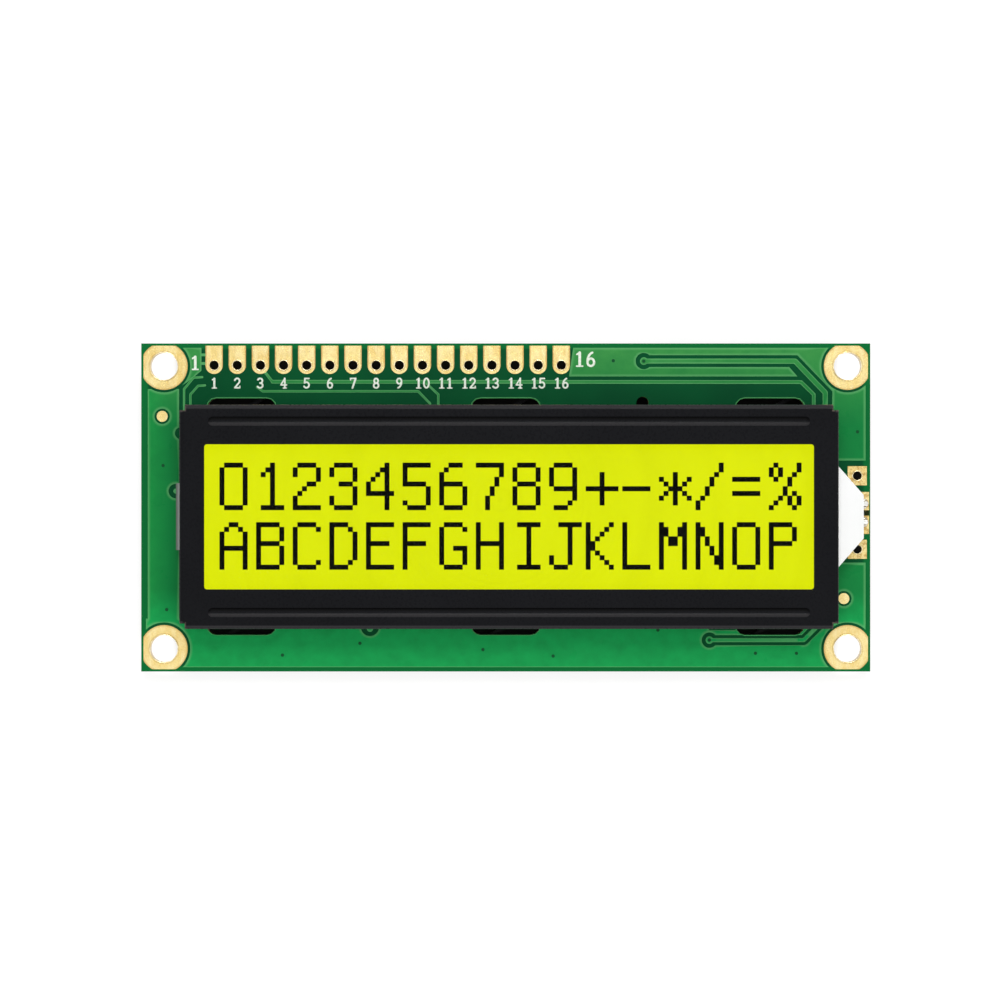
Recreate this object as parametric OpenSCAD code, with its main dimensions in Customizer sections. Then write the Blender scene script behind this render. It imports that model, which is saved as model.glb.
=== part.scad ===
// Character LCD module with two rows of sixteen characters, lying on its back.
// Millimetres. +Z is the way the display faces, +X runs along the text to its end and
// +Y points to the header row. The origin is the centre of the four mounting holes, on
// the board's rear face. The display stack is centred on [bezel_x, bezel_y].

/* [Board] */
// Width of the board left of the bezel
board_left = 4.65; // [4.4:0.05:12]
// Width of the board right of the bezel
board_right = 3.95; // [3.9:0.05:12]
// Width of the board above the bezel, where the header row is
board_upper = 6.85; // [6.4:0.1:12]
// Width of the board below the bezel
board_lower = 4.85; // [4.6:0.1:10]
// Thickness of the circuit board
board_t = 1.6; // [1:0.1:2]
// Thickness of the gold-plated copper on both faces and in the holes
plating_t = 0.05; // [0.03:0.01:0.08]
// Distance that the copper keeps from the board's edge
copper_margin = 0.25; // [0.1:0.05:0.3]
// Diameter of the open hole half under the bezel's upper edge
vent_d = 1.35; // [1:0.05:1.6]
// Distance of that hole from the board's centre, along the board
vent_x = 15; // [10:0.5:20]

/* [Mounting holes] */
// Diameter of a mounting hole
mount_hole_d = 3; // [2.4:0.1:3.3]
// Distance from a mounting hole's centre to each board edge
mount_inset = 2.5; // [2.3:0.05:2.6]
// Diameter of the gold land around a mounting hole
mount_land_d = 5.2; // [4.4:0.1:5.4]

/* [Header row] */
// Number of holes in the header row
pin_count = 16; // [14:1:18]
// Distance between neighbouring header holes
pin_pitch = 2.54; // [2.4:0.01:2.6]
// Diameter of a header hole
pin_hole_d = 1; // [0.8:0.05:1.1]
// Distance from the board's left edge to the first header hole
header_left = 8; // [7:0.1:10]
// Distance from the board's upper edge to the header holes
header_inset = 2.4; // [2:0.05:2.6]
// Width of the gold land around a header hole
pin_land_w = 1.9; // [1.5:0.05:2.1]

/* [Backlight terminals] */
// Distance from the board's right edge to the terminal holes
terminal_inset = 1.43; // [1.3:0.01:1.6]
// Distance across the board from the nose's tip corner to each terminal hole
terminal_gap = 1.68; // [1.5:0.02:2.2]
// Height of the terminals' middle above the display's centre line
terminal_rise = 0.45; // [0:0.05:0.5]
// Diameter of a terminal hole
terminal_hole_d = 0.95; // [0.8:0.05:1.1]
// Width of a terminal's square land
terminal_land = 2.1; // [1.8:0.05:2.3]

/* [Fiducials] */
// Diameter of a gold fiducial dot
fiducial_d = 1.2; // [0.8:0.1:1.5]
// Distance from the upper fiducial dot to the board's left edge
fiducial_left = 2.3; // [2:0.1:2.6]
// Distance from the lower fiducial dot to the board's right edge
fiducial_right = 2.9; // [2:0.1:3]
// Distance of each dot above or below the board's centre line
fiducial_rise = 10; // [8:0.1:11]

/* [Window] */
// Length of the viewing window
window_l = 66; // [56:0.5:80]
// Width of the viewing window
window_w = 15.7; // [12:0.1:24]
// Corner radius of the viewing window
window_r = 0.3; // [0.2:0.1:1.5]

/* [Bezel] */
// Thickness of the bezel's sheet steel
sheet_t = 0.4; // [0.3:0.05:0.55]
// Radius inside the bezel's folded edges
fold_inside = 0.1; // [0.05:0.05:0.4]
// Side of the square relief cut at each corner of the bezel
corner_relief = 0.6; // [0.6:0.05:0.8]
// Distance from the bezel's long edge to the middle of a pressed groove
groove_inset = 1.8; // [1.6:0.05:1.9]
// Distance from the bezel's short edge to the end of a groove
groove_end = 3; // [2.4:0.1:8]
// Width of a pressed groove
groove_w = 1; // [0.8:0.05:1.1]

/* [Bezel tabs] */
// Width of a tab's head, behind the board
tab_w = 4.6; // [3:0.1:5]
// Width of a tab's neck, in the board's slot
neck_w = 2.4; // [1.6:0.1:2.8]
// Distance from the bezel's short edge to the middle of the outer tab
tab_end = 6.7; // [5.6:0.1:10]
// Depth that a tab reaches behind the board
tab_reach = 1.7; // [1.5:0.1:2.4]
// Angle that a tab's head is twisted by, to hold the bezel on the board
tab_twist = 28; // [15:1:40]
// Length of a tab slot in the board
slot_l = 7.5; // [6.6:0.1:8]
// Width of a tab slot in the board
slot_w = 2; // [1.4:0.1:2.1]

/* [Liquid crystal cell] */
// Thickness of each glass plate
glass_t = 1.1; // [0.7:0.05:1.1]
// Thickness of each polarizer
polarizer_t = 0.25; // [0.15:0.05:0.3]
// Gap between the glass plates, filled with liquid crystal
cell_gap = 0.05; // [0.03:0.01:0.1]
// Play between the glass and the inside of the bezel
glass_play = 0.4; // [0.15:0.05:0.5]
// Distance from the window's end to the glass's end
glass_end = 1.9; // [1.5:0.1:3]
// Width of the front glass's ledge past the rear glass, along each long side
ledge_w = 2.5; // [2.1:0.05:3]
// Margin of the liquid crystal around the viewing window
view_margin = 0.3; // [0.1:0.05:0.35]
// Width of the glue seal around the liquid crystal
seal_w = 0.7; // [0.4:0.05:0.75]

/* [Contact strips] */
// Distance from the glass's end to the end of a contact strip
strip_end = 3.8; // [2:0.1:6]
// Width of an elastomer contact strip
strip_w = 1.5; // [1.2:0.05:1.55]
// Gap between a contact strip and the glass and housing beside it
strip_gap = 0.25; // [0.1:0.05:0.3]
// Distance between neighbouring contact fingers
finger_pitch = 1.5; // [1.2:0.05:1.5]
// Width of a contact finger
finger_w = 0.8; // [0.4:0.05:1]

/* [Backlight] */
// Thickness of the housing's floor
tray_floor = 0.5; // [0.4:0.05:0.8]
// Thickness of the housing's side walls
tray_wall = 0.8; // [0.5:0.05:0.9]
// Thickness of the reflector film under the light guide
reflector_t = 0.1; // [0.05:0.01:0.2]
// Thickness of the light guide
guide_t = 3; // [2.8:0.1:3.6]
// Thickness of the diffuser film over the light guide
diffuser_t = 0.2; // [0.1:0.05:0.3]
// Play of the light guide and its films in the housing
guide_play = 0.1; // [0.05:0.01:0.2]
// Distance that the housing's nose stands out of the bezel
nose_reach = 2.93; // [2.6:0.01:3]
// Width of the nose where it leaves the bezel
nose_base_w = 11.4; // [10.5:0.1:12.4]
// Width of the nose at its tip
nose_tip_w = 4.7; // [4.4:0.1:6]
// Height of the nose's underside above the board
nose_lift = 0.7; // [0.4:0.05:0.8]
// Thickness of the nose's walls
nose_wall = 0.45; // [0.35:0.05:0.5]
// Width of the housing's lug in the bezel's left wall
lug_w = 7.3; // [5:0.1:9]
// Distance that the lug stands out of the bezel
lug_reach = 0.65; // [0.1:0.05:0.8]
// Height of the lug above the board
lug_h = 2.6; // [1.5:0.1:3]
// Play between the housing and the notches in the bezel's walls
notch_play = 0.15; // [0.1:0.05:0.3]

/* [Backlight lamp] */
// Width of the lamp across the nose
lamp_w = 3; // [2.6:0.1:3.1]
// Distance of the lamp and its leads above the display's centre line
lamp_rise = 0.4; // [0:0.05:0.45]
// Depth of the lamp along the nose
lamp_d = 0.9; // [0.6:0.1:1.2]
// Height of the lamp
lamp_h = 1.6; // [1.2:0.1:1.8]
// Distance between the lamp's two leads
lead_pitch = 2; // [1.6:0.1:2.2]
// Width of a lead
lead_w = 0.5; // [0.3:0.05:0.6]
// Thickness of a lead
lead_t = 0.2; // [0.1:0.05:0.25]
// Distance from the nose's tip to the part of a lead that goes down
lead_out = 0.35; // [0.3:0.01:0.4]
// Diameter of the solder joint at a lead's foot
solder_d = 0.8; // [0.7:0.05:1]
// Height of that solder joint
solder_h = 0.35; // [0.25:0.05:0.4]
// Length of a lead's gold land, across the board
lamp_land_l = 2; // [1.4:0.1:2.1]
// Gap between the two gold lands
lamp_land_gap = 0.6; // [0.4:0.05:0.8]

/* [Chips on the rear] */
// Side of the controller's square die
controller_die = 3.6; // [2:0.1:5]
// Diameter of the epoxy over the controller
controller_epoxy_d = 15; // [12:0.5:17]
// Distance of the controller from the board's centre, along the board
controller_x = -15; // [-19:0.5:-10]
// Side of the segment driver's square die
driver_die = 3; // [2:0.1:4.5]
// Diameter of the epoxy over the segment driver
driver_epoxy_d = 13; // [11:0.5:16]
// Distance of the segment driver from the board's centre, along the board
driver_x = 10; // [8:0.5:12]
// Thickness of both dies
die_t = 0.4; // [0.2:0.05:0.5]
// Height of both epoxy domes
epoxy_h = 1.3; // [1:0.1:1.4]

/* [Small parts on the rear] */
// Length of a small chip resistor or capacitor
chip_l = 2; // [1.6:0.1:2.2]
// Width of a small chip resistor or capacitor
chip_w = 1.25; // [0.8:0.05:1.4]
// Thickness of a chip resistor
resistor_t = 0.55; // [0.35:0.05:0.7]
// Thickness of a chip capacitor
capacitor_t = 1; // [0.6:0.05:1.2]
// Number of bias resistors in the row
bias_count = 5; // [3:1:5]
// Distance between neighbouring bias resistors
bias_pitch = 2.4; // [2:0.1:2.6]
// Distance of the first bias resistor from the board's centre
bias_x = 21; // [20.5:0.1:22]
// Length of the backlight resistor
power_chip_l = 3.2; // [3:0.1:3.6]
// Width of the backlight resistor
power_chip_w = 1.6; // [1.4:0.1:2.2]

/* [Hidden] */
$fn = 64;
cut = 1;   // how far a cutter runs past the face it cuts

// Heights of the stack, from the board's front face up
tray_z = board_t;
reflector_z = tray_z + tray_floor;
guide_z = reflector_z + reflector_t;
diffuser_z = guide_z + guide_t;
tray_top = diffuser_z + diffuser_t;
rear_glass_z = tray_top + polarizer_t;
cell_z = rear_glass_z + glass_t;
front_glass_z = cell_z + cell_gap;
front_polarizer_z = front_glass_z + glass_t;
bezel_roof = front_polarizer_z + polarizer_t;
bezel_h = bezel_roof + sheet_t - board_t;
land_z = board_t + plating_t;

// The stack's plan sizes, from the window out
glass_l = window_l + 2 * glass_end;
crystal_w = window_w + 2 * view_margin;
rear_glass_w = crystal_w + 2 * seal_w;
front_glass_w = rear_glass_w + 2 * ledge_w;
inner_l = glass_l + 2 * glass_play;
inner_w = front_glass_w + 2 * glass_play;
fold_r = fold_inside + sheet_t;
bezel_l = inner_l + 2 * sheet_t;
bezel_w = inner_w + 2 * sheet_t;
strip_l = glass_l - 2 * strip_end;
finger_count = floor(strip_l / finger_pitch) - 1;
strip_y = rear_glass_w / 2 + strip_gap + strip_w / 2;
pocket_l = glass_l - 2 * tray_wall;
pocket_w = rear_glass_w - 2 * tray_wall;

// The board reaches past the bezel on all four sides
board_l = bezel_l + board_left + board_right;
board_w = bezel_w + board_upper + board_lower;
bezel_x = (board_left - board_right) / 2;
bezel_y = (board_lower - board_upper) / 2;
tab_pitch = bezel_l / 2 - tab_end;

// A groove is as deep as the polarizer is thick, so its ridge bears on the glass
groove_y = bezel_w / 2 - groove_inset;
groove_l = bezel_l - 2 * groove_end;
groove_r = (pow(groove_w / 2, 2) + pow(polarizer_t, 2)) / (2 * polarizer_t);
ridge_r = groove_r + sheet_t;
ridge_half = sqrt(pow(ridge_r, 2) - pow(ridge_r - polarizer_t, 2));
polarizer_w = 2 * (groove_y - ridge_half - glass_play);

// The nose narrows from the bezel's edge to its tip
nose_slope = (nose_base_w - nose_tip_w) / 2 / nose_reach;
nose_tip = bezel_l / 2 + nose_reach;
nose_z = board_t + nose_lift;
nose_skin = nose_wall * sqrt(1 + pow(nose_slope, 2));
tunnel_z = nose_z + nose_wall;
tunnel_top = tray_top - nose_wall;
throat_start = (pocket_l - tray_wall) / 2 - guide_play;
lamp_front = nose_tip - nose_wall - lamp_d;
lead_x = nose_tip + lead_out;
lead_z = tunnel_z + lamp_h / 2 - lead_t / 2;
lead_ys = [lamp_rise - lead_pitch / 2, lamp_rise + lead_pitch / 2];

mount_x = board_l / 2 - mount_inset;
mount_y = board_w / 2 - mount_inset;
header_x = header_left - board_l / 2;
header_y = board_w / 2 - header_inset;
terminal_x = board_l / 2 - terminal_inset;
terminal_y = bezel_y + terminal_rise;
terminal_pitch = nose_tip_w + 2 * terminal_gap;
tab_y = bezel_w / 2 - sheet_t / 2;

// Half the nose's width at a distance along the display
function nose_half(x) = nose_tip_w / 2 + (nose_tip - x) * nose_slope;

// ---- Shared shapes ----

module at_display(z) {
    translate([bezel_x, bezel_y, z]) children();
}

// A flat plate centred on the display
module plate(l, w, z, t) {
    at_display(z) linear_extrude(t) square([l, w], center = true);
}

module at_mounts() {
    for (sx = [-1, 1], sy = [-1, 1])
        translate([sx * mount_x, sy * mount_y, 0]) mirror([sx < 0 ? 1 : 0, 0, 0])
            mirror([0, sy < 0 ? 1 : 0, 0]) children();
}

module at_pins() {
    for (i = [0 : pin_count - 1])
        translate([header_x + i * pin_pitch, header_y, 0]) children();
}

module at_terminals() {
    for (s = [-1, 1])
        translate([terminal_x, terminal_y + s * terminal_pitch / 2, 0]) children();
}

// A bore through the board and its plating
module bore(d) {
    translate([0, 0, -cut]) cylinder(d = d, h = board_t + 2 * cut);
}

// Gold on both faces, in the outline of the child, joined by a plated barrel
module plated_hole(hole_d) {
    difference() {
        union() {
            translate([0, 0, board_t]) linear_extrude(plating_t) children();
            translate([0, 0, -plating_t]) linear_extrude(plating_t) children();
            cylinder(d = hole_d + 2 * plating_t, h = board_t);
        }
        bore(hole_d);
    }
}

// A bar with round ends, seen from above
module slot_outline(l, w) {
    square([l - w, w], center = true);
    for (s = [-1, 1])
        translate([s * (l - w) / 2, 0]) circle(d = w);
}

// A round bar along X with ball ends, for pressing a groove
module groove_bar(r, reach) {
    rotate([0, 90, 0]) cylinder(r = r, h = 2 * reach, center = true);
    for (s = [-1, 1])
        translate([s * reach, 0, 0]) sphere(r = r);
}

// The outline of a folded sheet seen end on, with its upper corners rounded
module fold_outline(w, h, r) {
    translate([-w / 2, 0]) square([w, h - r]);
    translate([r - w / 2, 0]) square([w - 2 * r, h]);
    for (s = [-1, 1])
        translate([s * (w / 2 - r), h - r]) circle(r = r);
}

// A block whose four upper edges are rounded
module folded_block(l, w, h, r) {
    intersection() {
        rotate([90, 0, 0]) linear_extrude(w, center = true) fold_outline(l, h, r);
        rotate([90, 0, 90]) linear_extrude(l, center = true) fold_outline(w, h, r);
    }
}

module rounded_outline(l, w, r) {
    square([l - 2 * r, w], center = true);
    square([l, w - 2 * r], center = true);
    for (sx = [-1, 1], sy = [-1, 1])
        translate([sx * (l / 2 - r), sy * (w / 2 - r)]) circle(r = r);
}

// A trapezoid that narrows along the nose, a skin's thickness inside its outline
module nose_outline(from, to, skin) {
    a = nose_half(from) - skin;
    b = nose_half(to) - skin;
    polygon([[from, -a], [to, -b], [to, b], [from, a]]);
}

// A chip on the board's rear face
module rear_chip(l, w, t) {
    translate([-l / 2, -w / 2, -t]) cube([l, w, t]);
}

// A dome of epoxy on the board's rear face, moulded over a square die
module epoxy_dome(d, die) {
    dome_r = (pow(d / 2, 2) + pow(epoxy_h, 2)) / (2 * epoxy_h);
    difference() {
        rotate_extrude($fn = 128) intersection() {
            translate([0, dome_r - epoxy_h]) circle(r = dome_r, $fn = 256);
            translate([0, -epoxy_h]) square([d / 2, epoxy_h]);
        }
        rear_chip(die, die, die_t);
    }
}

// ---- Board and its copper ----

module circuit_board() {
    color([0.12, 0.5, 0.26])
    difference() {
        linear_extrude(board_t) square([board_l, board_w], center = true);
        at_mounts() bore(mount_hole_d + 2 * plating_t);
        at_pins() bore(pin_hole_d + 2 * plating_t);
        at_terminals() bore(terminal_hole_d + 2 * plating_t);
        translate([vent_x, bezel_y + bezel_w / 2 + vent_d / 4, 0]) bore(vent_d);
        for (i = [-1 : 1], s = [-1, 1])
            translate([i * tab_pitch, bezel_y + s * tab_y, -cut])
                linear_extrude(board_t + 2 * cut) slot_outline(slot_l, slot_w);
    }
}

// A round land, cut straight where it nears the board's two edges
module mounting_lands() {
    limit = mount_inset - copper_margin;
    color([0.93, 0.84, 0.55])
    at_mounts() plated_hole(mount_hole_d)
        intersection() {
            circle(d = mount_land_d);
            translate([limit - mount_land_d, limit - mount_land_d])
                square(2 * mount_land_d, center = true);
        }
}

// A tongue that is round below the hole and runs straight up to the board's edge
module header_lands() {
    color([0.93, 0.84, 0.55])
    at_pins() plated_hole(pin_hole_d) {
        circle(d = pin_land_w);
        translate([-pin_land_w / 2, 0]) square([pin_land_w, header_inset - copper_margin]);
    }
}

module terminal_lands() {
    color([0.93, 0.84, 0.55])
    at_terminals() plated_hole(terminal_hole_d) square(terminal_land, center = true);
}

// Two lands behind the nose's tip, for the lamp's leads
module lamp_lands() {
    land_end = board_l / 2 - copper_margin / 2;
    land_start = bezel_x + nose_tip - lead_out;
    land_y = bezel_y + lamp_rise - lamp_land_l / 2;
    color([0.93, 0.84, 0.55])
    for (s = [-1, 1])
        translate([land_start, land_y + s * (lamp_land_l + lamp_land_gap) / 2, board_t])
            cube([land_end - land_start, lamp_land_l, plating_t]);
}

module fiducials() {
    color([0.93, 0.84, 0.55])
    for (place = [[fiducial_left - board_l / 2, fiducial_rise],
                  [board_l / 2 - fiducial_right, -fiducial_rise]])
        translate([place.x, place.y, board_t]) cylinder(d = fiducial_d, h = plating_t);
}

module contact_fingers() {
    color([0.93, 0.84, 0.55])
    for (s = [-1, 1], i = [0 : finger_count - 1])
        at_display(board_t)
            translate([(i - (finger_count - 1) / 2) * finger_pitch - finger_w / 2,
                       s * strip_y - strip_w / 2, 0])
                cube([finger_w, strip_w, plating_t]);
}

// ---- Bezel ----

// One sheet of steel, folded down on four sides, with a punched window, two pressed
// grooves and six tabs whose heads are twisted behind the board
module bezel() {
    color([0.13, 0.13, 0.14])
    at_display(0) {
        difference() {
            union() {
                difference() {
                    translate([0, 0, board_t]) folded_block(bezel_l, bezel_w, bezel_h, fold_r);
                    translate([0, 0, board_t - cut])
                        folded_block(inner_l, inner_w, bezel_h - sheet_t + cut, fold_inside);
                }
                intersection() {
                    for (s = [-1, 1])
                        translate([0, s * groove_y, bezel_roof - polarizer_t + ridge_r])
                            groove_bar(ridge_r, groove_l / 2 - groove_r);
                    translate([-inner_l / 2, -inner_w / 2, front_polarizer_z - cut])
                        cube([inner_l, inner_w, polarizer_t + sheet_t / 2 + cut]);
                }
            }
            for (s = [-1, 1])
                translate([0, s * groove_y, bezel_roof + sheet_t - polarizer_t + groove_r])
                    groove_bar(groove_r, groove_l / 2 - groove_r);
            translate([0, 0, bezel_roof - cut])
                linear_extrude(sheet_t + 2 * cut) rounded_outline(window_l, window_w, window_r);
            corner_cuts();
            wall_notches();
        }
        for (i = [-1 : 1], s = [-1, 1])
            translate([i * tab_pitch, s * tab_y, 0]) twisted_tab();
    }
}

module corner_cuts() {
    for (sx = [-1, 1], sy = [-1, 1])
        translate([sx * bezel_l / 2, sy * bezel_w / 2, bezel_roof / 2])
            cube([2 * corner_relief, 2 * corner_relief, 2 * bezel_roof], center = true);
}

// Notches for the housing's nose and lug in the bezel's short walls
module wall_notches() {
    nose_gap = 2 * nose_half(inner_l / 2) + 2 * notch_play;
    translate([inner_l / 2 - cut, -nose_gap / 2, board_t - cut])
        cube([sheet_t + 2 * cut, nose_gap, tray_top - board_t + notch_play + cut]);
    translate([-bezel_l / 2 - cut, -lug_w / 2 - notch_play, board_t - cut])
        cube([sheet_t + 2 * cut, lug_w + 2 * notch_play, lug_h + notch_play + cut]);
}

// A neck that passes through the board, and a head that bears on the board's rear face
module twisted_tab() {
    translate([-neck_w / 2, -sheet_t / 2, 0]) cube([neck_w, sheet_t, board_t]);
    translate([0, 0, -tab_reach]) rotate([0, 0, tab_twist]) linear_extrude(tab_reach)
        square([tab_w, sheet_t], center = true);
}

// ---- Liquid crystal cell ----

module front_polarizer() {
    color([0.85, 0.92, 0.1]) plate(glass_l - 2 * seal_w, polarizer_w, front_polarizer_z, polarizer_t);
}

module front_glass() {
    color([0.8, 0.88, 0.85]) plate(glass_l, front_glass_w, front_glass_z, glass_t);
}

module cell_seal() {
    color([0.75, 0.75, 0.7])
    at_display(cell_z) linear_extrude(cell_gap) difference() {
        square([glass_l, rear_glass_w], center = true);
        square([glass_l - 2 * seal_w, crystal_w], center = true);
    }
}

module liquid_crystal() {
    color([0.85, 0.92, 0.1]) plate(glass_l - 2 * seal_w, crystal_w, cell_z, cell_gap);
}

module rear_glass() {
    color([0.8, 0.88, 0.85]) plate(glass_l, rear_glass_w, rear_glass_z, glass_t);
}

module rear_polarizer() {
    color([0.85, 0.92, 0.1]) plate(glass_l - 2 * seal_w, crystal_w, tray_top, polarizer_t);
}

// ---- Contact strips ----

module contact_strip(side) {
    color([0.85, 0.6, 0.65])
    at_display(land_z) translate([-strip_l / 2, side * strip_y - strip_w / 2, 0])
        cube([strip_l, strip_w, front_glass_z - land_z]);
}

module upper_contact_strip() {
    contact_strip(1);
}

module lower_contact_strip() {
    contact_strip(-1);
}

// ---- Backlight ----

// A white tray with a hollow nose at its right end and a lug at its left
module backlight_housing() {
    lug_l = glass_play + sheet_t + lug_reach;
    color([0.97, 0.97, 0.97])
    at_display(0) difference() {
        union() {
            translate([-glass_l / 2, -rear_glass_w / 2, tray_z])
                cube([glass_l, rear_glass_w, tray_top - tray_z]);
            translate([0, 0, nose_z]) linear_extrude(tray_top - nose_z)
                nose_outline(glass_l / 2 - tray_wall, nose_tip, 0);
            translate([-glass_l / 2 - lug_l, -lug_w / 2, tray_z]) cube([lug_l + cut, lug_w, lug_h]);
        }
        translate([-pocket_l / 2, -pocket_w / 2, reflector_z])
            cube([pocket_l, pocket_w, tray_top - reflector_z + cut]);
        translate([0, 0, tunnel_z]) linear_extrude(tunnel_top - tunnel_z)
            nose_outline(throat_start, nose_tip - nose_wall, nose_skin);
        lead_runs(guide_play);
    }
}

module diffuser_film() {
    color([0.95, 0.95, 0.92])
    plate(pocket_l - 2 * guide_play, pocket_w - 2 * guide_play, diffuser_z, diffuser_t);
}

// A clear plate with a tapered throat that reaches into the nose, up to the lamp
module light_guide() {
    color([0.9, 0.95, 0.9]) {
        plate(pocket_l - 2 * guide_play, pocket_w - 2 * guide_play, guide_z, guide_t);
        at_display(tunnel_z) linear_extrude(tunnel_top - tunnel_z - guide_play)
            nose_outline(throat_start, lamp_front - guide_play, nose_skin + guide_play);
    }
}

module reflector_film() {
    color([0.93, 0.93, 0.95])
    plate(pocket_l - 2 * guide_play, pocket_w - 2 * guide_play, reflector_z, reflector_t);
}

module backlight_lamp() {
    color([0.95, 0.93, 0.8])
    at_display(tunnel_z) translate([lamp_front, lamp_rise - lamp_w / 2, 0]) cube([lamp_d, lamp_w, lamp_h]);
}

// The leads' straight runs out of the lamp, made wider by the given play
module lead_runs(play) {
    for (y = lead_ys)
        translate([lamp_front + lamp_d - play, y - lead_w / 2 - play, lead_z - play])
            cube([nose_wall + lead_out + lead_t + play, lead_w + 2 * play, lead_t + 2 * play]);
}

// Two flat leads that leave the lamp through the nose's tip and go down to their lands
module lamp_leads() {
    color([0.8, 0.8, 0.8])
    at_display(0) {
        lead_runs(0);
        for (y = lead_ys)
            translate([lead_x, y - lead_w / 2, land_z]) cube([lead_t, lead_w, lead_z - land_z + lead_t]);
    }
}

module lamp_solder() {
    solder_r = (pow(solder_d / 2, 2) + pow(solder_h, 2)) / (2 * solder_h);
    color([0.85, 0.85, 0.84])
    difference() {
        at_display(land_z) for (y = lead_ys)
            translate([lead_x + lead_t / 2, y, 0]) intersection() {
                translate([0, 0, solder_h - solder_r]) sphere(r = solder_r);
                cylinder(d = solder_d + cut, h = solder_h + cut);
            }
        lamp_leads();
    }
}

// ---- Rear of the board ----

module controller_chip() {
    color([0.35, 0.35, 0.38])
    translate([controller_x, bezel_y, 0]) rear_chip(controller_die, controller_die, die_t);
}

module controller_epoxy() {
    color([0.06, 0.06, 0.06])
    translate([controller_x, bezel_y, 0]) epoxy_dome(controller_epoxy_d, controller_die);
}

module driver_chip() {
    color([0.35, 0.35, 0.38])
    translate([driver_x, bezel_y, 0]) rear_chip(driver_die, driver_die, die_t);
}

module driver_epoxy() {
    color([0.06, 0.06, 0.06])
    translate([driver_x, bezel_y, 0]) epoxy_dome(driver_epoxy_d, driver_die);
}

module bias_resistors() {
    color([0.1, 0.1, 0.1])
    for (i = [0 : bias_count - 1])
        translate([bias_x + i * bias_pitch, bezel_y + chip_l, 0])
            rear_chip(chip_w, chip_l, resistor_t);
}

module oscillator_resistor() {
    color([0.1, 0.1, 0.1])
    translate([controller_x - controller_epoxy_d / 2 - 2 * chip_w, bezel_y - chip_l, 0])
        rear_chip(chip_w, chip_l, resistor_t);
}

module backlight_resistor() {
    color([0.1, 0.1, 0.1])
    translate([bias_x + 2 * bias_pitch, bezel_y - 2 * power_chip_w, 0])
        rear_chip(power_chip_l, power_chip_w, resistor_t);
}

module capacitors() {
    color([0.6, 0.5, 0.38])
    for (i = [0, 1])
        translate([controller_x - controller_epoxy_d / 2 - (2 + 2 * i) * chip_w, bezel_y + chip_l, 0])
            rear_chip(chip_w, chip_l, capacitor_t);
}

circuit_board();
mounting_lands();
header_lands();
terminal_lands();
lamp_lands();
fiducials();
contact_fingers();
bezel();
front_polarizer();
front_glass();
cell_seal();
liquid_crystal();
rear_glass();
rear_polarizer();
upper_contact_strip();
lower_contact_strip();
backlight_housing();
diffuser_film();
light_guide();
reflector_film();
backlight_lamp();
lamp_leads();
lamp_solder();
controller_chip();
controller_epoxy();
driver_chip();
driver_epoxy();
bias_resistors();
oscillator_resistor();
backlight_resistor();
capacitors();
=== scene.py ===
"""Character display module, two rows of sixteen characters, lying on its back on white paper.

The sections follow the module as it is put together: the board and its copper, the gold
plating, the printed legend, the parts on the rear, the backlight, the glass cell with its
dots, the contact strips and the folded steel bezel. Artwork is drawn in millimetres.
"""

from math import atan2, cos, hypot, pi, radians, sin

import bmesh
import bpy
from mathutils import Matrix, Vector
from mathutils.geometry import delaunay_2d_cdt


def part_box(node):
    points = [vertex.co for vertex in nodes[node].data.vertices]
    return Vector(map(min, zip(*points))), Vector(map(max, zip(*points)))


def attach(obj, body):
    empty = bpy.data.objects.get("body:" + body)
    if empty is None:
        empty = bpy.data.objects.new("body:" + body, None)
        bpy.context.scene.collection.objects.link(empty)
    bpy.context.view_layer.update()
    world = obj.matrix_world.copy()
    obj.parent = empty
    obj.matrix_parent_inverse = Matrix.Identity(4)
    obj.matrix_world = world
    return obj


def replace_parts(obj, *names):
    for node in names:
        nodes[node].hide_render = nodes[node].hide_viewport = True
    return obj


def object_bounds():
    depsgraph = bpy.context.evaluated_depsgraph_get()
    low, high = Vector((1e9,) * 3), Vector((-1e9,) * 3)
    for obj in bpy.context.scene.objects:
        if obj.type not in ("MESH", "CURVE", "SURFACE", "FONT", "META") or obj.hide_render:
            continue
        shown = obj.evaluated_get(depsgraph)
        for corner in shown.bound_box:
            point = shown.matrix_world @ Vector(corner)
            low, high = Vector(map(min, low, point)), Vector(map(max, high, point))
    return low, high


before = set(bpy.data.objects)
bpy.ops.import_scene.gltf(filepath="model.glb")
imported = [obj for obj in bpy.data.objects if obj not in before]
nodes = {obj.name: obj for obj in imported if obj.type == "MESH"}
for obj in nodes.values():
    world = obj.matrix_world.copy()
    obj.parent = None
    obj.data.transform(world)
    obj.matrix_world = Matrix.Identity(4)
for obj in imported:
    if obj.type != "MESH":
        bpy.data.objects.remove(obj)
cad_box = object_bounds()
mm = 0.001


# ---- Studio ------------------------------------------------------------------------------
# A camera looks straight down from 490 mm above the board. White paper lies under the
# module, a wide lamp hangs beyond the header row, and weaker lamps fill the other sides.

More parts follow.
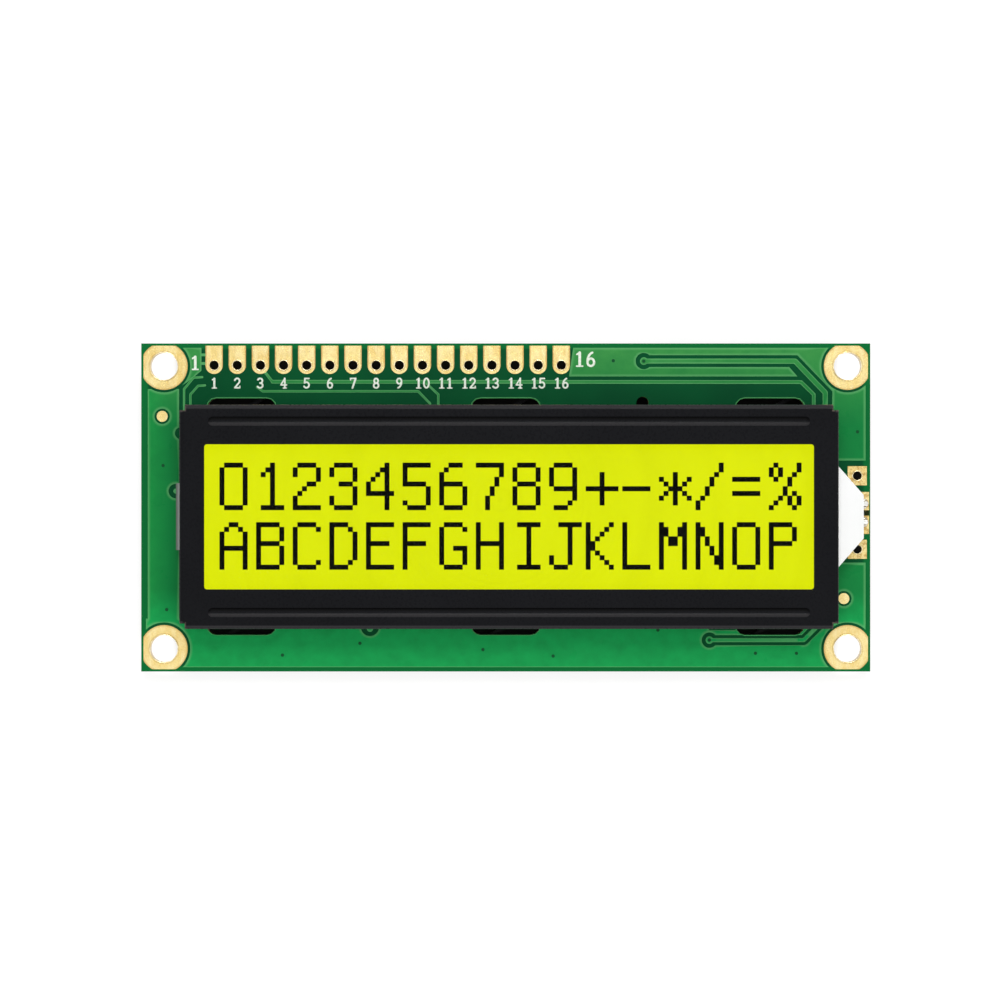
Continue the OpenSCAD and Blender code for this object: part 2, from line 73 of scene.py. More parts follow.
class Wire:
    """One output socket of a finish; sums and products of wires add Math nodes."""

    def __init__(self, finish, socket):
        self.finish = finish
        self.socket = socket

    def sum_up(self, operation, *terms):
        return self.finish.node("ShaderNodeMath", {"operation": operation}, dict(enumerate(terms)))

    def __add__(self, other):
        return self.sum_up("ADD", self, other)

    def __radd__(self, other):
        return self.sum_up("ADD", other, self)

    def __sub__(self, other):
        return self.sum_up("SUBTRACT", self, other)

    def __rsub__(self, other):
        return self.sum_up("SUBTRACT", other, self)

    def __mul__(self, other):
        return self.sum_up("MULTIPLY", self, other)

    def __rmul__(self, other):
        return self.sum_up("MULTIPLY", other, self)

    def over(self, edge):
        return self.sum_up("GREATER_THAN", self, edge)

    def larger(self, other):
        return self.sum_up("MAXIMUM", self, other)

    def root(self):
        return self.sum_up("SQRT", self)

    def size(self):
        return self.sum_up("ABSOLUTE", self)

    def squared(self):
        return self * self

    def wave(self, length):
        """A sine of the wire, from 0 to 1, that repeats after each length."""
        return 0.5 + 0.5 * self.sum_up("SINE", self * (2 * pi / length))


class Finish:
    """A material, or the world, and the one method that adds any node to it."""

    def __init__(self, name, library=bpy.data.materials):
        self.material = library.new(name)
        self.material.use_nodes = True
        self.tree = self.material.node_tree
        self.tree.nodes.clear()

    def node(self, kind, settings=None, sockets=None, out=0):
        made = self.tree.nodes.new(kind)
        for name, value in (settings or {}).items():
            setattr(made, name, value)
        for name, value in (sockets or {}).items():
            if isinstance(value, Wire):
                self.tree.links.new(value.socket, made.inputs[name])
            elif isinstance(value, tuple) and made.inputs[name].type == "RGBA":
                made.inputs[name].default_value = (*value, 1)
            else:
                made.inputs[name].default_value = value
        return Wire(self, made.outputs[out]) if made.outputs else made

    def place(self):
        """Where a point of the piece lies, in metres of the shared frame."""
        return self.node("ShaderNodeTexCoord", out=3)

    def axes(self):
        parted = self.node("ShaderNodeSeparateXYZ", sockets={0: self.place()})
        return [Wire(self, s) for s in parted.socket.node.outputs]

    def grain(self, size, detail=2.0, rough=0.5, stretch=(1, 1, 1)):
        """Noise from 0 to 1 whose blotches are about size metres across."""
        turned = self.node("ShaderNodeMapping", sockets={"Vector": self.place(), "Scale": stretch})
        return self.node("ShaderNodeTexNoise", sockets={
            "Vector": turned, "Scale": 1 / size, "Detail": detail, "Roughness": rough})

    def spread(self, value, low, high, to_low=0.0, to_high=1.0):
        """Maps a range of a value onto another, held at its ends."""
        return self.node("ShaderNodeMapRange", sockets={
            0: value, 1: low, 2: high, 3: to_low, 4: to_high})

    def blend(self, share, first, second):
        return self.node("ShaderNodeMix", {"data_type": "RGBA"}, {0: share, 6: first, 7: second}, 2)

    def bump(self, height, depth):
        return self.node("ShaderNodeBump", sockets={
            "Height": height, "Distance": depth, "Strength": 1.0})

    def body(self, sockets):
        return self.node("ShaderNodeBsdfPrincipled", sockets=sockets)

    def shown(self):
        """1 for the rays that show this surface to the camera, straight or by way of glass."""
        path = self.node("ShaderNodeLightPath").socket.node.outputs
        kinds = ("Is Camera Ray", "Is Glossy Ray", "Is Transmission Ray")
        return sum(Wire(self, path[kind]) for kind in kinds)

    def close(self, shader):
        self.node("ShaderNodeOutputMaterial", sockets={0: shader})


board_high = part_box("circuit_board")[1]
half_l = board_high.x / mm
half_w = board_high.y / mm
hole_x, hole_y = half_l - 2.5, half_w - 2.5
holes = [(sx * hole_x, sy * hole_y) for sx in (-1, 1) for sy in (-1, 1)]
camera_rise = 490
view_width = 109.74

camera = bpy.data.objects.new("camera", bpy.data.cameras.new("camera"))
bpy.context.scene.collection.objects.link(camera)
camera.location = (-0.63 * mm, 0.82 * mm, board_high.z + camera_rise * mm)
camera.data.sensor_width = 36
camera.data.lens = 36 * camera_rise / view_width
camera.data.clip_end = 20
bpy.context.scene.camera = camera
bpy.context.scene.view_settings.view_transform = "Standard"


def hang_lamp(name, place, size, power):
    """A square lamp that faces the module's centre. Its place is in metres."""
    lamp = bpy.data.lights.new(name, "AREA")
    lamp.shape = "SQUARE"
    lamp.size = size
    lamp.energy = power
    hung = bpy.data.objects.new(name, lamp)
    hung.location = place
    hung.rotation_euler = (-Vector(place)).to_track_quat("-Z", "Y").to_euler()
    bpy.context.scene.collection.objects.link(hung)


hang_lamp("key_lamp", (0.02, 0.27, 0.62), 0.22, 1.65)
hang_lamp("near_lamp", (0.0, -0.35, 0.6), 0.7, 0.85)
hang_lamp("left_lamp", (-0.6, -0.1, 0.55), 0.5, 0.35)
hang_lamp("right_lamp", (0.55, -0.1, 0.6), 0.5, 0.65)

room = Finish("room", bpy.data.worlds)
room.node("ShaderNodeOutputWorld", sockets={0: room.node("ShaderNodeBackground", sockets={
    "Color": (1.0, 1.0, 1.0), "Strength": room.spread(room.shown(), 0, 1, 0.58, 1.0)})})
bpy.context.scene.world = room.material

# The paper glows for the camera alone, so that it is white, and more under the mounting holes,
# a painted light that keeps them white. Its colour is painted dark and its glow cut behind the
# header's holes, the slots and the backlight's two terminals, a painted shade.
white_paper = Finish("white_paper")
across, along = white_paper.axes()[:2]
behind_display = (
    white_paper.spread(across.size(), 37 * mm, 33 * mm)
    * white_paper.spread(along.size(), (half_w - 0.2) * mm, (half_w - 1.8) * mm))
behind_terminals = (
    white_paper.spread(across, 33 * mm, 35 * mm)
    * white_paper.spread(across, half_l * mm, (half_l - 0.8) * mm)
    * white_paper.spread(along.size(), 7.5 * mm, 5.2 * mm))
shade = behind_display.larger(behind_terminals)
# Painted light: the glow is raised under each mounting hole.
from_hole = (across.size() - hole_x * mm).squared() + (along.size() - hole_y * mm).squared()
painted_light_under_hole = white_paper.spread(from_hole, (3.2 * mm) ** 2, (1.5 * mm) ** 2)
glow = white_paper.shown() * (1 - shade) * (0.76 + 0.2 * painted_light_under_hole)
paper_tone = white_paper.blend(white_paper.grain(4 * mm), (0.29, 0.29, 0.29), (0.33, 0.33, 0.33))
white_paper.close(white_paper.body({
    "Base Color": white_paper.blend(shade, paper_tone, (0.02, 0.02, 0.02)), "Roughness": 0.9,
    "Specular IOR Level": 0.1, "Emission Strength": 1.0,
    "Emission Color": white_paper.blend(glow, (0.0, 0.0, 0.0), (1.0, 1.0, 1.0))}))
bpy.ops.mesh.primitive_plane_add(size=6, location=(0, 0, cad_box[0][2]))
paper = bpy.context.object
paper.name = "paper"
paper.data.materials.append(white_paper.material)


# ---- Circuit board -----------------------------------------------------------------------
# Glass-fibre laminate, 1.6 mm thick, milled to size. Green solder mask covers both faces,
# looks dark where no copper lies under it, and leaves the sawn edges bare. Flux has burnt
# brown between the lamp's two joints.

def dress(name, finish):
    """Gives a CAD node its finish."""
    nodes[name].data.materials.clear()
    nodes[name].data.materials.append(finish.material)


mask_dark = (0.0008, 0.088, 0.025)
mask_deep = (0.0002, 0.064, 0.020)
mask_edge = (0.0030, 0.160, 0.034)
lamp_y = -0.58

bare_laminate = Finish("bare_laminate")
facing = bare_laminate.node("ShaderNodeSeparateXYZ", sockets={
    0: bare_laminate.node("ShaderNodeNewGeometry", out=1)}, out=2)
on_face = facing.size().over(0.5)
across, along, up = bare_laminate.axes()
plies = up.wave(0.2 * mm)
sawn = bare_laminate.blend(plies * 0.5 + bare_laminate.grain(0.3 * mm, 4) * 0.5,
                           (0.30, 0.30, 0.10), (0.52, 0.50, 0.22))
cloudy = bare_laminate.spread(bare_laminate.grain(9 * mm, 3), 0.3, 0.7)
masked = bare_laminate.blend(cloudy, mask_deep, mask_dark)
at_ends = bare_laminate.spread(across.size(), (half_l - 0.9) * mm, (half_l - 0.6) * mm)
at_sides = bare_laminate.spread(along.size(), (half_w - 0.7) * mm, (half_w - 0.5) * mm)
masked = bare_laminate.blend(0.75 * at_ends.larger(at_sides), masked, mask_edge)
from_joints = ((across - (half_l - 0.5) * mm).squared() + (along - lamp_y * mm).squared()).root()
burnt_flux = bare_laminate.spread(from_joints, 0.6 * mm, 0.3 * mm) * up.over(board_high.z / 2)
masked = bare_laminate.blend(0.9 * burnt_flux, masked, (0.020, 0.012, 0.003))
board_tone = bare_laminate.blend(on_face, sawn, masked)
board_gloss = bare_laminate.spread(bare_laminate.grain(1.5 * mm, 3), 0.3, 0.7, 0.28, 0.42)
board_dents = bare_laminate.bump(bare_laminate.grain(0.4 * mm, 3), 0.006 * mm)
bare_laminate.close(bare_laminate.body({
    "Base Color": board_tone, "Roughness": board_gloss, "Specular IOR Level": 0.04,
    "Normal": board_dents}))
dress("circuit_board", bare_laminate)


# ---- Copper under the mask, front --------------------------------------------------------
# Poured copper and tracks 0.035 mm thick, etched before the mask goes on. The mask is
# thinner over them, and thinnest along their rims, where the green is palest.

def disc(x, y, radius, sides=24):
    def outline(grow):
        r = radius + grow
        turn = [2 * pi * i / sides for i in range(sides)]
        return [[(x + r * cos(a), y + r * sin(a)) for a in turn]] if r > 0.01 else []
    return outline


def track(width, *points):
    """A line of constant width with round ends, one run for each pair of points."""
    def outline(grow):
        r = width / 2 + grow
        runs = []
        for (x0, y0), (x1, y1) in zip(points, points[1:]):
            a = atan2(y1 - y0, x1 - x0)
            half = [a + pi * (i / 6 - 0.5) for i in range(7)]
            runs.append([(x1 + r * cos(t), y1 + r * sin(t)) for t in half]
                        + [(x0 - r * cos(t), y0 - r * sin(t)) for t in half])
        return runs if r > 0.01 else []
    return outline


def area(*corners):
    """A straight-sided area, its corners anticlockwise."""
    def outline(grow):
        moved = []
        shifted = (corners[-1:] + corners[:-1], corners, corners[1:] + corners[:1])
        for before, here, after in zip(*shifted):
            sides = []
            for (x0, y0), (x1, y1) in ((before, here), (here, after)):
                run = hypot(x1 - x0, y1 - y0)
                sides.append(((y1 - y0) / run, (x0 - x1) / run))
            (ax, ay), (bx, by) = sides
            share = grow / (1 + ax * bx + ay * by)
            moved.append((here[0] + (ax + bx) * share, here[1] + (ay + by) * share))
        return [moved]
    return outline


def box_area(x0, y0, x1, y1):
    return area((x0, y0), (x1, y0), (x1, y1), (x0, y1))


class Artwork:
    """Flat shapes laid down or cleared in order, as on a film for etching or printing."""

    def __init__(self):
        self.steps = []

    def lay(self, *shapes):
        self.steps += [(True, shape) for shape in shapes]

    def clear(self, *shapes):
        self.steps += [(False, shape) for shape in shapes]

    def cut_up(self, insets):
        """Corners, triangles, and how many of the insets each triangle lies inside."""
        corners, rings, owners = [], [], []
        for level, inset in enumerate(insets):
            for order, (laid, shape) in enumerate(self.steps):
                for ring in shape(-inset if laid else inset):
                    rings.append(list(range(len(corners), len(corners) + len(ring))))
                    corners += [Vector(p) for p in ring]
                    owners.append((level, order, laid))
        points, _, triangles, _, _, sources = delaunay_2d_cdt(corners, [], rings, 1, 1e-5)
        depths = []
        for source in sources:
            depth = 0
            for level in range(len(insets)):
                cover = [owners[i][1:] for i in source if owners[i][0] == level]
                if not cover or not max(cover)[1]:
                    break
                depth = level + 1
            depths.append(depth)
        return points, triangles, depths


def raise_artwork(name, art, insets, heights, face_z, up, foot=0.01):
    """Makes the artwork a thin solid on a face of the board. Heights are those of the rim,
    of each inset's line and of what lies inside; the rim attribute is 1 near the rim."""
    points, triangles, depths = art.cut_up(insets)
    ring = [len(insets)] * len(points)
    for triangle, depth in zip(triangles, depths):
        for i in triangle:
            ring[i] = min(ring[i], depth)
    kept = [t for t, depth in zip(triangles, depths) if depth]
    used = sorted({i for t in kept for i in t})
    place = {i: n for n, i in enumerate(used)}
    count = len(used)
    corners = [(points[i].x * mm, points[i].y * mm, (face_z + up * heights[ring[i]]) * mm)
               for i in used]
    corners += [(points[i].x * mm, points[i].y * mm, (face_z - up * foot) * mm) for i in used]
    faces, edges = [], set()
    for t in kept:
        a, b, c = (place[i] for i in t)
        faces += [(a, b, c), (c + count, b + count, a + count)]
        edges |= {(a, b), (b, c), (c, a)}
    faces += [(b, a, a + count, b + count) for a, b in edges if (b, a) not in edges]
    if up < 0:
        faces = [tuple(reversed(f)) for f in faces]
    mesh = bpy.data.meshes.new(name)
    mesh.from_pydata(corners, [], faces)
    rim = mesh.attributes.new("rim", "FLOAT", "POINT")
    rim.data.foreach_set("value", 2 * [1.0 if ring[i] < 2 else 0.0 for i in used])
    made = bpy.data.objects.new(name, mesh)
    bpy.context.scene.collection.objects.link(made)
    return made


def cover(shape, finish, slot):
    """Gives a new piece of the board its finish, and lets it ride on the board."""
    shape.data.materials.append(finish.material)
    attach(shape, "root")


def corners_of(name):
    """The two corners of a CAD node's box, in millimetres."""
    return [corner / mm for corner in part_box(name)]


def centre(name):
    low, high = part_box(name)
    return (low.x + high.x) / 2 / mm, (low.y + high.y) / 2 / mm


board_top = board_high.z / mm
bezel_low, bezel_high = corners_of("bezel")
mid_x, mid_y = centre("bezel")
bezel_half_w = 12.15
pin_pitch = 2.54
land_w = 1.9
pin_y = half_w - 2.4
first_pin_x = corners_of("header_lands")[0].x + land_w / 2
pin_xs = [first_pin_x + pin_pitch * i for i in range(16)]
slot_ys = (mid_y + bezel_half_w - 0.2, mid_y - bezel_half_w + 0.2)
slot_xs = (-29, 0, 29)
terminal_low, terminal_high = corners_of("terminal_lands")
terminal_x, terminal_y = centre("terminal_lands")
terminal_ys = (terminal_y - 4.03, terminal_y + 4.03)
pour_x = half_l - 0.52
pour_y = half_w - 0.48


def part_from_holes(art):
    """Clears the copper round the four mounting holes."""
    art.clear(*[disc(x, y, 2.88, 48) for x, y in holes])


def rim_each_slot(art, width):
    """Leaves a rim of copper, of a width over all, round each slot of the bezel's tabs."""
    for x in slot_xs:
        for y in slot_ys:
            run = ((x - 2.75, y), (x + 2.75, y))
            art.lay(track(width, *run))
            art.clear(track(2.06, *run))


front = Artwork()
# the band along the left edge, the block beside the first land, the bottom and right bands
front.lay(box_area(-pour_x + 0.2, -pour_y, -35.85, 13.0))
front.lay(area((-35.9, 13.2), (-34.95, 13.75), (-33.4, 15.0), (-33.4, pour_y), (-35.9, pour_y)))
front.lay(track(0.3, (-33.6, 16.75), (-32.8, 16.75)), track(0.3, (-33.6, 15.8), (-32.8, 15.8)))
front.lay(box_area(-pour_x, -pour_y, pour_x, -12.2))
front.lay(box_area(34.9, 5.15, pour_x, 11.2), box_area(34.9, -14, pour_x, -6.05))
front.lay(area((6.95, 14.38), (15.3, 14.38), (15.3, pour_y), (7.4, pour_y)))
front.lay(box_area(14.2, 16.71, 33.2, pour_y))
front.lay(area((35.8, 10.0), (pour_x, 10.0), (pour_x, pour_y), (32.0, pour_y), (32.0, 16.71),
               (35.85, 12.74)))
front.lay(area((14.2, 14.38), (32.0, 14.38), (31.1, 15.41), (14.2, 15.41)))
# the tracks from the header round the display's upper corners
front.clear(disc(15.15, 16.06, 0.9))
front.lay(disc(15.15, 16.06, 0.42))
front.lay(track(0.56, (15.15, 16.06), (31.75, 16.06), (35.06, 12.6), (35.06, 10)))
front.lay(track(0.4, (-25.6, 13.8), (32.4, 13.76), (33.8, 12.4), (33.8, 10)))
front.lay(track(0.3, (-26.5, 14.95), (-25.6, 13.8)))
front.lay(track(0.26, (-27.3, 13.2), (-26.65, 12.75), (-9.6, 12.75), (-8.3, 11.4)))
front.lay(track(0.26, (-8.8, 13.7), (-7.4, 12.4), (-7.4, 11)))
front.lay(track(0.24, (-33.3, 14.3), (-34.25, 14.25), (-35.3, 13.0), (-35.3, 10)))
front.lay(track(0.24, (-33.0, 13.4), (-33.75, 13.35), (-34.6, 12.4), (-34.6, 10)))
# a track in the bottom right band, and the clearances of half-hidden vias
front.clear(track(1.1, (22.35, -14.55), (32.7, -14.55), (34.3, -12.95)))
front.clear(disc(22.35, -14.55, 0.85))
front.lay(disc(22.35, -14.55, 0.42))
front.lay(track(0.45, (22.35, -14.55), (32.7, -14.55), (34.3, -12.95)))
front.clear(box_area(22.3, -13.45, 31.9, -12))
front.clear(disc(-35.65, 8.15, 0.66), disc(-36.2, 1.8, 0.8), disc(-14.9, -13.1, 1.0))
front.lay(disc(-36.2, 1.8, 0.28, 16), disc(-14.9, -13.3, 0.35, 16))
# clearance round the holes, slots and lands, with a pale rim round each slot
part_from_holes(front)
rim_each_slot(front, 2.28)
fiducial_low, fiducial_high = corners_of("fiducials")
front.clear(disc(fiducial_low.x + 0.6, fiducial_high.y - 0.6, 0.84),
            disc(fiducial_high.x - 0.6, fiducial_low.y + 0.6, 0.84))
front.clear(box_area(terminal_low.x - 0.35, terminal_low.y - 0.35,
                     half_l, terminal_high.y + 0.35))

copper_skin = Finish("mask_over_copper")
rim = copper_skin.node("ShaderNodeAttribute", {"attribute_name": "rim"}, out=2)
across, along = copper_skin.axes()[:2]
patchy = copper_skin.spread(copper_skin.grain(26 * mm, 2, 0.5), 0.35, 0.65)
fine = copper_skin.spread(copper_skin.grain(1.3 * mm, 4, 0.6), 0.25, 0.75)
# Painted light: the green grows lighter towards the top edge.
upper = copper_skin.spread(along, 9 * mm, 17.4 * mm)
# Painted light: the bottom band below the bezel is made much lighter, lifting the bezel's cast shadow
# there.
lower = copper_skin.spread(along, -9 * mm, -14 * mm)
# Painted highlight: the green is lighter beside the board's left edge.
beside = copper_skin.spread(across, -36.8 * mm, -39.2 * mm)
mask_green_painted_light = copper_skin.blend(patchy, (0.002, 0.200, 0.043), (0.007, 0.232, 0.050))
mask_green_painted_light = copper_skin.blend(upper, mask_green_painted_light, (0.050, 0.300, 0.066))
mask_green_painted_light = copper_skin.blend(0.9 * beside, mask_green_painted_light, (0.012, 0.300, 0.058))
painted_light_green = copper_skin.blend(copper_skin.spread(along, -14.5 * mm, -17.2 * mm),
                              (0.009, 0.430, 0.100), (0.009, 0.370, 0.084))
mask_green_painted_light = copper_skin.blend(lower, mask_green_painted_light, painted_light_green)
mottled = copper_skin.blend(0.4 * fine, mask_green_painted_light, (0.004, 0.17, 0.040))
pale_rim = copper_skin.blend(rim * 0.6, mottled, (0.13, 0.44, 0.16))
skin_gloss = copper_skin.spread(copper_skin.grain(2 * mm, 3), 0.3, 0.7, 0.25, 0.40)
skin_dents = copper_skin.bump(copper_skin.grain(0.35 * mm, 3), 0.006 * mm)
copper_skin.close(copper_skin.body({
    "Base Color": pale_rim, "Roughness": skin_gloss, "Specular IOR Level": 0.06,
    "Normal": skin_dents}))

copper_steps = (0.006, 0.035, 0.035, 0.035)
cover(raise_artwork("front_copper", front, (0, 0.06, 0.32), copper_steps, board_top, 1),
      copper_skin, "board_green")

# A drop of darker mask plugs each small via that it covers.
plugs = Artwork()
plugs.lay(*[disc(x, y, 0.19, 12) for x, y in (
    (-37.6, 4.6), (38.6, 8.3), (11.8, 16.1), (15.15, 16.06), (22.35, -14.55), (27.4, -16.0),
    (31.9, -16.0), (16.7, -13.45), (-16, -14.9), (-2.5, -15.6), (5.2, -16.3), (-24.5, -16.2),
    (-37.2, -11.2))])
plug_mask = Finish("plug_mask")
plug_tone = plug_mask.blend(plug_mask.grain(0.1 * mm, 3), (0.0, 0.045, 0.012), (0.002, 0.10, 0.03))
plug_gloss = plug_mask.spread(plug_mask.grain(0.2 * mm), 0.3, 0.7, 0.3, 0.5)
plug_mask.close(plug_mask.body({
    "Base Color": plug_tone, "Roughness": plug_gloss, "Specular IOR Level": 0.1,
    "Normal": plug_mask.bump(plug_mask.grain(0.1 * mm), 0.01 * mm)}))
cover(raise_artwork("via_plugs", plugs, (0, 0.05), (0.036, 0.040, 0.042), board_top, 1),
      plug_mask, "board_green")


# ---- Gold plating ------------------------------------------------------------------------
# Bare copper lands, hole barrels, fiducials and contact fingers are plated with gold over
# nickel, which leaves them satin, with the grain of the copper showing.

def plated(name, tarnish_and_edge_shade=None):
    """A gold finish, browned where the given wire is 1; on the mounting rings that brown is painted
    edge shade.
    """
    made = Finish(name)
    specks = made.grain(0.2 * mm, 4, 0.65)
    streaks = made.spread(made.grain(0.9 * mm, 4, 0.6, (1.6, 0.5, 1)), 0.40, 0.66)
    stains = made.spread(made.grain(1.9 * mm, 3), 0.35, 0.7)
    tone = made.blend(stains, (0.66, 0.490, 0.175), (0.73, 0.595, 0.255))
    tone = made.blend(0.5 * streaks, tone, (0.78, 0.690, 0.400))
    tone = made.blend(0.5 * made.spread(specks, 0.52, 0.72), tone, (0.46, 0.27, 0.07))
    if tarnish_and_edge_shade:
        tone = made.blend(tarnish_and_edge_shade(made), tone, (0.36, 0.21, 0.05))
    made.close(made.body({
        "Base Color": tone, "Metallic": 1.0, "Roughness": made.spread(specks, 0.3, 0.7, 0.18, 0.30),
        "Normal": made.bump(specks + streaks, 0.006 * mm)}))
    return made


def beside_each_pin(made):
    """1 along both sides of every header land, where the gold is made darker and browner."""
    middle = (made.axes()[0] - (first_pin_x - pin_pitch / 4) * mm).wave(pin_pitch * mm)
    return 0.8 * made.spread(middle, 0.36, 0.14)


def painted_shade_round_each_hole(made):
    """1 at the outer and inner edges of the rings round the mounting holes, where painted shade browns
    them.
    """
    across, along = made.axes()[:2]
    apart = ((across.size() - hole_x * mm).squared() + (along.size() - hole_y * mm).squared()).root()
    outer = made.spread(apart, 2.35 * mm, 2.6 * mm)
    return 0.6 * outer + 0.6 * made.spread(apart, 1.75 * mm, 1.55 * mm)


def in_blotches(made):
    """1 where flux and heat have browned the gold beside the joints."""
    return 0.7 * made.spread(made.grain(0.55 * mm, 4, 0.65), 0.45, 0.60)


clean_gold = plated("plated_gold")
browned_gold = plated("browned_gold", in_blotches)
dress("header_lands", plated("thin_gold", beside_each_pin))
dress("mounting_lands", plated("ring_gold", painted_shade_round_each_hole))
dress("terminal_lands", browned_gold)
dress("lamp_lands", browned_gold)
dress("fiducials", clean_gold)
dress("contact_fingers", clean_gold)
bright_gold = Finish("bright_gold")
shine = bright_gold.spread(bright_gold.grain(0.3 * mm, 3), 0.35, 0.65)
bright_gold.close(bright_gold.body({
    "Base Color": bright_gold.blend(shine, (0.66, 0.50, 0.22), (0.90, 0.82, 0.56)), "Metallic": 1.0,
    "Roughness": bright_gold.spread(shine, 0, 1, 0.3, 0.15),
    "Normal": bright_gold.bump(bright_gold.grain(0.12 * mm), 0.004 * mm)}))


class Pattern:
    """A geometry tree that sets copies of one model at many places and gives them a finish."""

    def __init__(self, name, sizes):
        self.tree = bpy.data.node_groups.new(name, "GeometryNodeTree")
        self.sizes = sizes
        sockets = [("Places", "Geometry"), ("Finish", "Material"), ("Solid", "Object")]
        sockets += [(size, "Float") for size in sizes]
        for label, kind in sockets:
            self.tree.interface.new_socket(label, in_out="INPUT", socket_type="NodeSocket" + kind)
        self.tree.interface.new_socket("Result", in_out="OUTPUT", socket_type="NodeSocketGeometry")
        self.start = self.add("NodeGroupInput").outputs

    def add(self, kind, settings=None, sockets=None):
        made = self.tree.nodes.new(kind)
        for name, value in (settings or {}).items():
            setattr(made, name, value)
        for name, value in (sockets or {}).items():
            if isinstance(value, bpy.types.NodeSocket):
                self.tree.links.new(value, made.inputs[name])
            else:
                made.inputs[name].default_value = value
        return made

    def copy_at_places(self, model):
        """Ends the tree: the model on every place, realized, in its finish."""
        copies = self.add("GeometryNodeInstanceOnPoints",
                          sockets={"Points": self.start["Places"], "Instance": model})
        real = self.add("GeometryNodeRealizeInstances", sockets={0: copies.outputs[0]})
        coated = self.add("GeometryNodeSetMaterial", sockets={
            "Geometry": real.outputs[0], "Material": self.start["Finish"]})
        self.add("NodeGroupOutput", sockets={0: coated.outputs[0]})

    def make(self, name, places, finish, solid=None):
        """Places are in millimetres, and solid is a ready mesh. The result is a plain mesh."""
        dots = bpy.data.meshes.new(name)
        dots.from_pydata([[v * mm for v in place] for place in places], [], [])
        made = bpy.data.objects.new(name, dots)
        bpy.context.scene.collection.objects.link(made)
        master = bpy.data.objects.new(name + "_solid", solid) if solid else None
        layer = made.modifiers.new(name, "NODES")
        layer.node_group = self.tree
        for item in self.tree.interface.items_tree:
            if item.name in self.sizes:
                layer[item.identifier] = float(self.sizes[item.name] * mm)
            elif item.name == "Finish":
                layer[item.identifier] = finish.material
            elif item.name == "Solid" and master:
                layer[item.identifier] = master
        graph = bpy.context.evaluated_depsgraph_get()
        real = bpy.data.meshes.new_from_object(made.evaluated_get(graph), depsgraph=graph)
        made.modifiers.remove(layer)
        made.data = real
        if master:
            bpy.data.objects.remove(master)
        return made


def hole_lips(name, bore, lip, places):
    """The rounded edge that plating leaves at the mouth of a hole."""
    pattern = Pattern(name, {"Ring": bore / 2 + lip * 0.8, "Lip": lip})
    ring = pattern.add("GeometryNodeCurvePrimitiveCircle", sockets={
        "Resolution": 40, "Radius": pattern.start["Ring"]})
    bead = pattern.add("GeometryNodeCurvePrimitiveCircle", sockets={
        "Resolution": 10, "Radius": pattern.start["Lip"]})
    tube = pattern.add("GeometryNodeCurveToMesh", sockets={0: ring.outputs[0], 1: bead.outputs[0]})
    pattern.copy_at_places(tube.outputs[0])
    made = pattern.make(name, places, bright_gold)
    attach(made, "root")


land_zs = (board_top + 0.05, -0.05)
hole_lips("header_lips", 1.0, 0.07, [(x, pin_y, z) for x in pin_xs for z in land_zs])
hole_lips("terminal_lips", 0.95, 0.07, [(terminal_x, y, z) for y in terminal_ys for z in land_zs])
hole_lips("mounting_lips", 3.0, 0.06, [(x, y, z) for x, y in holes for z in land_zs])


# ---- Copper under the mask, rear ---------------------------------------------------------
# The tracks of the two chips: the header's lines run down to the controller, a short bus
# joins it to the segment driver, and both fan out to vias below the contact fingers.

controller_x, chip_y = centre("controller_epoxy")
driver_x = centre("driver_epoxy")[0]
controller_r, driver_r = 7.5, 6.5

rear = Artwork()
rear.lay(box_area(-pour_x, -pour_y, pour_x, pour_y))
rear.clear(box_area(-33.4, -16.6, 34.9, 16.2), box_area(-31.5, 13, 7.5, half_w))
rear.lay(box_area(19.0, -8.6, 34.0, -6.4), box_area(19.0, 6.0, 34.0, 8.4))
# eleven of the header's lines, and the bus of seven tracks between the two chips
for i in range(3, 14):
    x = pin_xs[i]
    goal = controller_x + (i - 8.2) * 1.02
    turn = 12.9 - 0.42 * abs(i - 5.6)
    drop = abs(goal - x)
    rear.lay(track(0.28, (x, 15), (x, turn), (goal, turn - drop * 0.9), (goal, chip_y + 6.0)))
for k in range(7):
    y = chip_y + 2.4 - 0.8 * k
    rear.lay(track(0.26, (controller_x + 6.5, y), (driver_x - 5.5, y)))
# nineteen tracks fan out below the controller, and above and below the driver, to vias
fan_vias = []
for middle, radius, sides in ((controller_x, controller_r, (-1,)), (driver_x, driver_r, (-1, 1))):
    for k in range(19):
        share = k / 18 - 0.5
        for side in sides:
            start = (middle + radius * 1.45 * share, chip_y + side * radius * 0.62)
            goal_x = middle + share * 22.5
            end_y = mid_y + side * (9.0 + 0.8 * (k % 2))
            turn_y = end_y - side * (0.5 + 5 * abs(share) * 0.4)
            bend = min(abs(goal_x - start[0]), abs(turn_y - start[1]) * 0.9)
            rear.lay(track(0.2, start, (start[0], turn_y - side * bend), (goal_x, turn_y),
                           (goal_x, end_y)))
            fan_vias.append((goal_x, end_y))
# the backlight's supply, and the clearance round holes, slots, terminals, vent and vias
rear.lay(track(0.5, (35, 3.4), (terminal_x, terminal_ys[1])),
         track(0.5, (30, -5.9), (35, -4.58), (terminal_x, terminal_ys[0])))
rear.lay(*[disc(x, y, 0.34, 16) for x, y in fan_vias])
part_from_holes(rear)
rim_each_slot(rear, 2.5)
rear.clear(*[disc(terminal_x, y, 1.75) for y in terminal_ys])
rear.clear(disc(15, mid_y + 12.49, 0.75, 20))
pour_vias = [(-36.5, 4), (-36.5, -6), (36.8, 9), (37.2, -9), (21, -7.5), (32, 7.2)]
rear.clear(*[disc(x, y, 0.15, 10) for x, y in fan_vias + pour_vias])
cover(raise_artwork("rear_copper", rear, (0, 0.05, 0.3), copper_steps, 0, -1),
      copper_skin, "board_green")


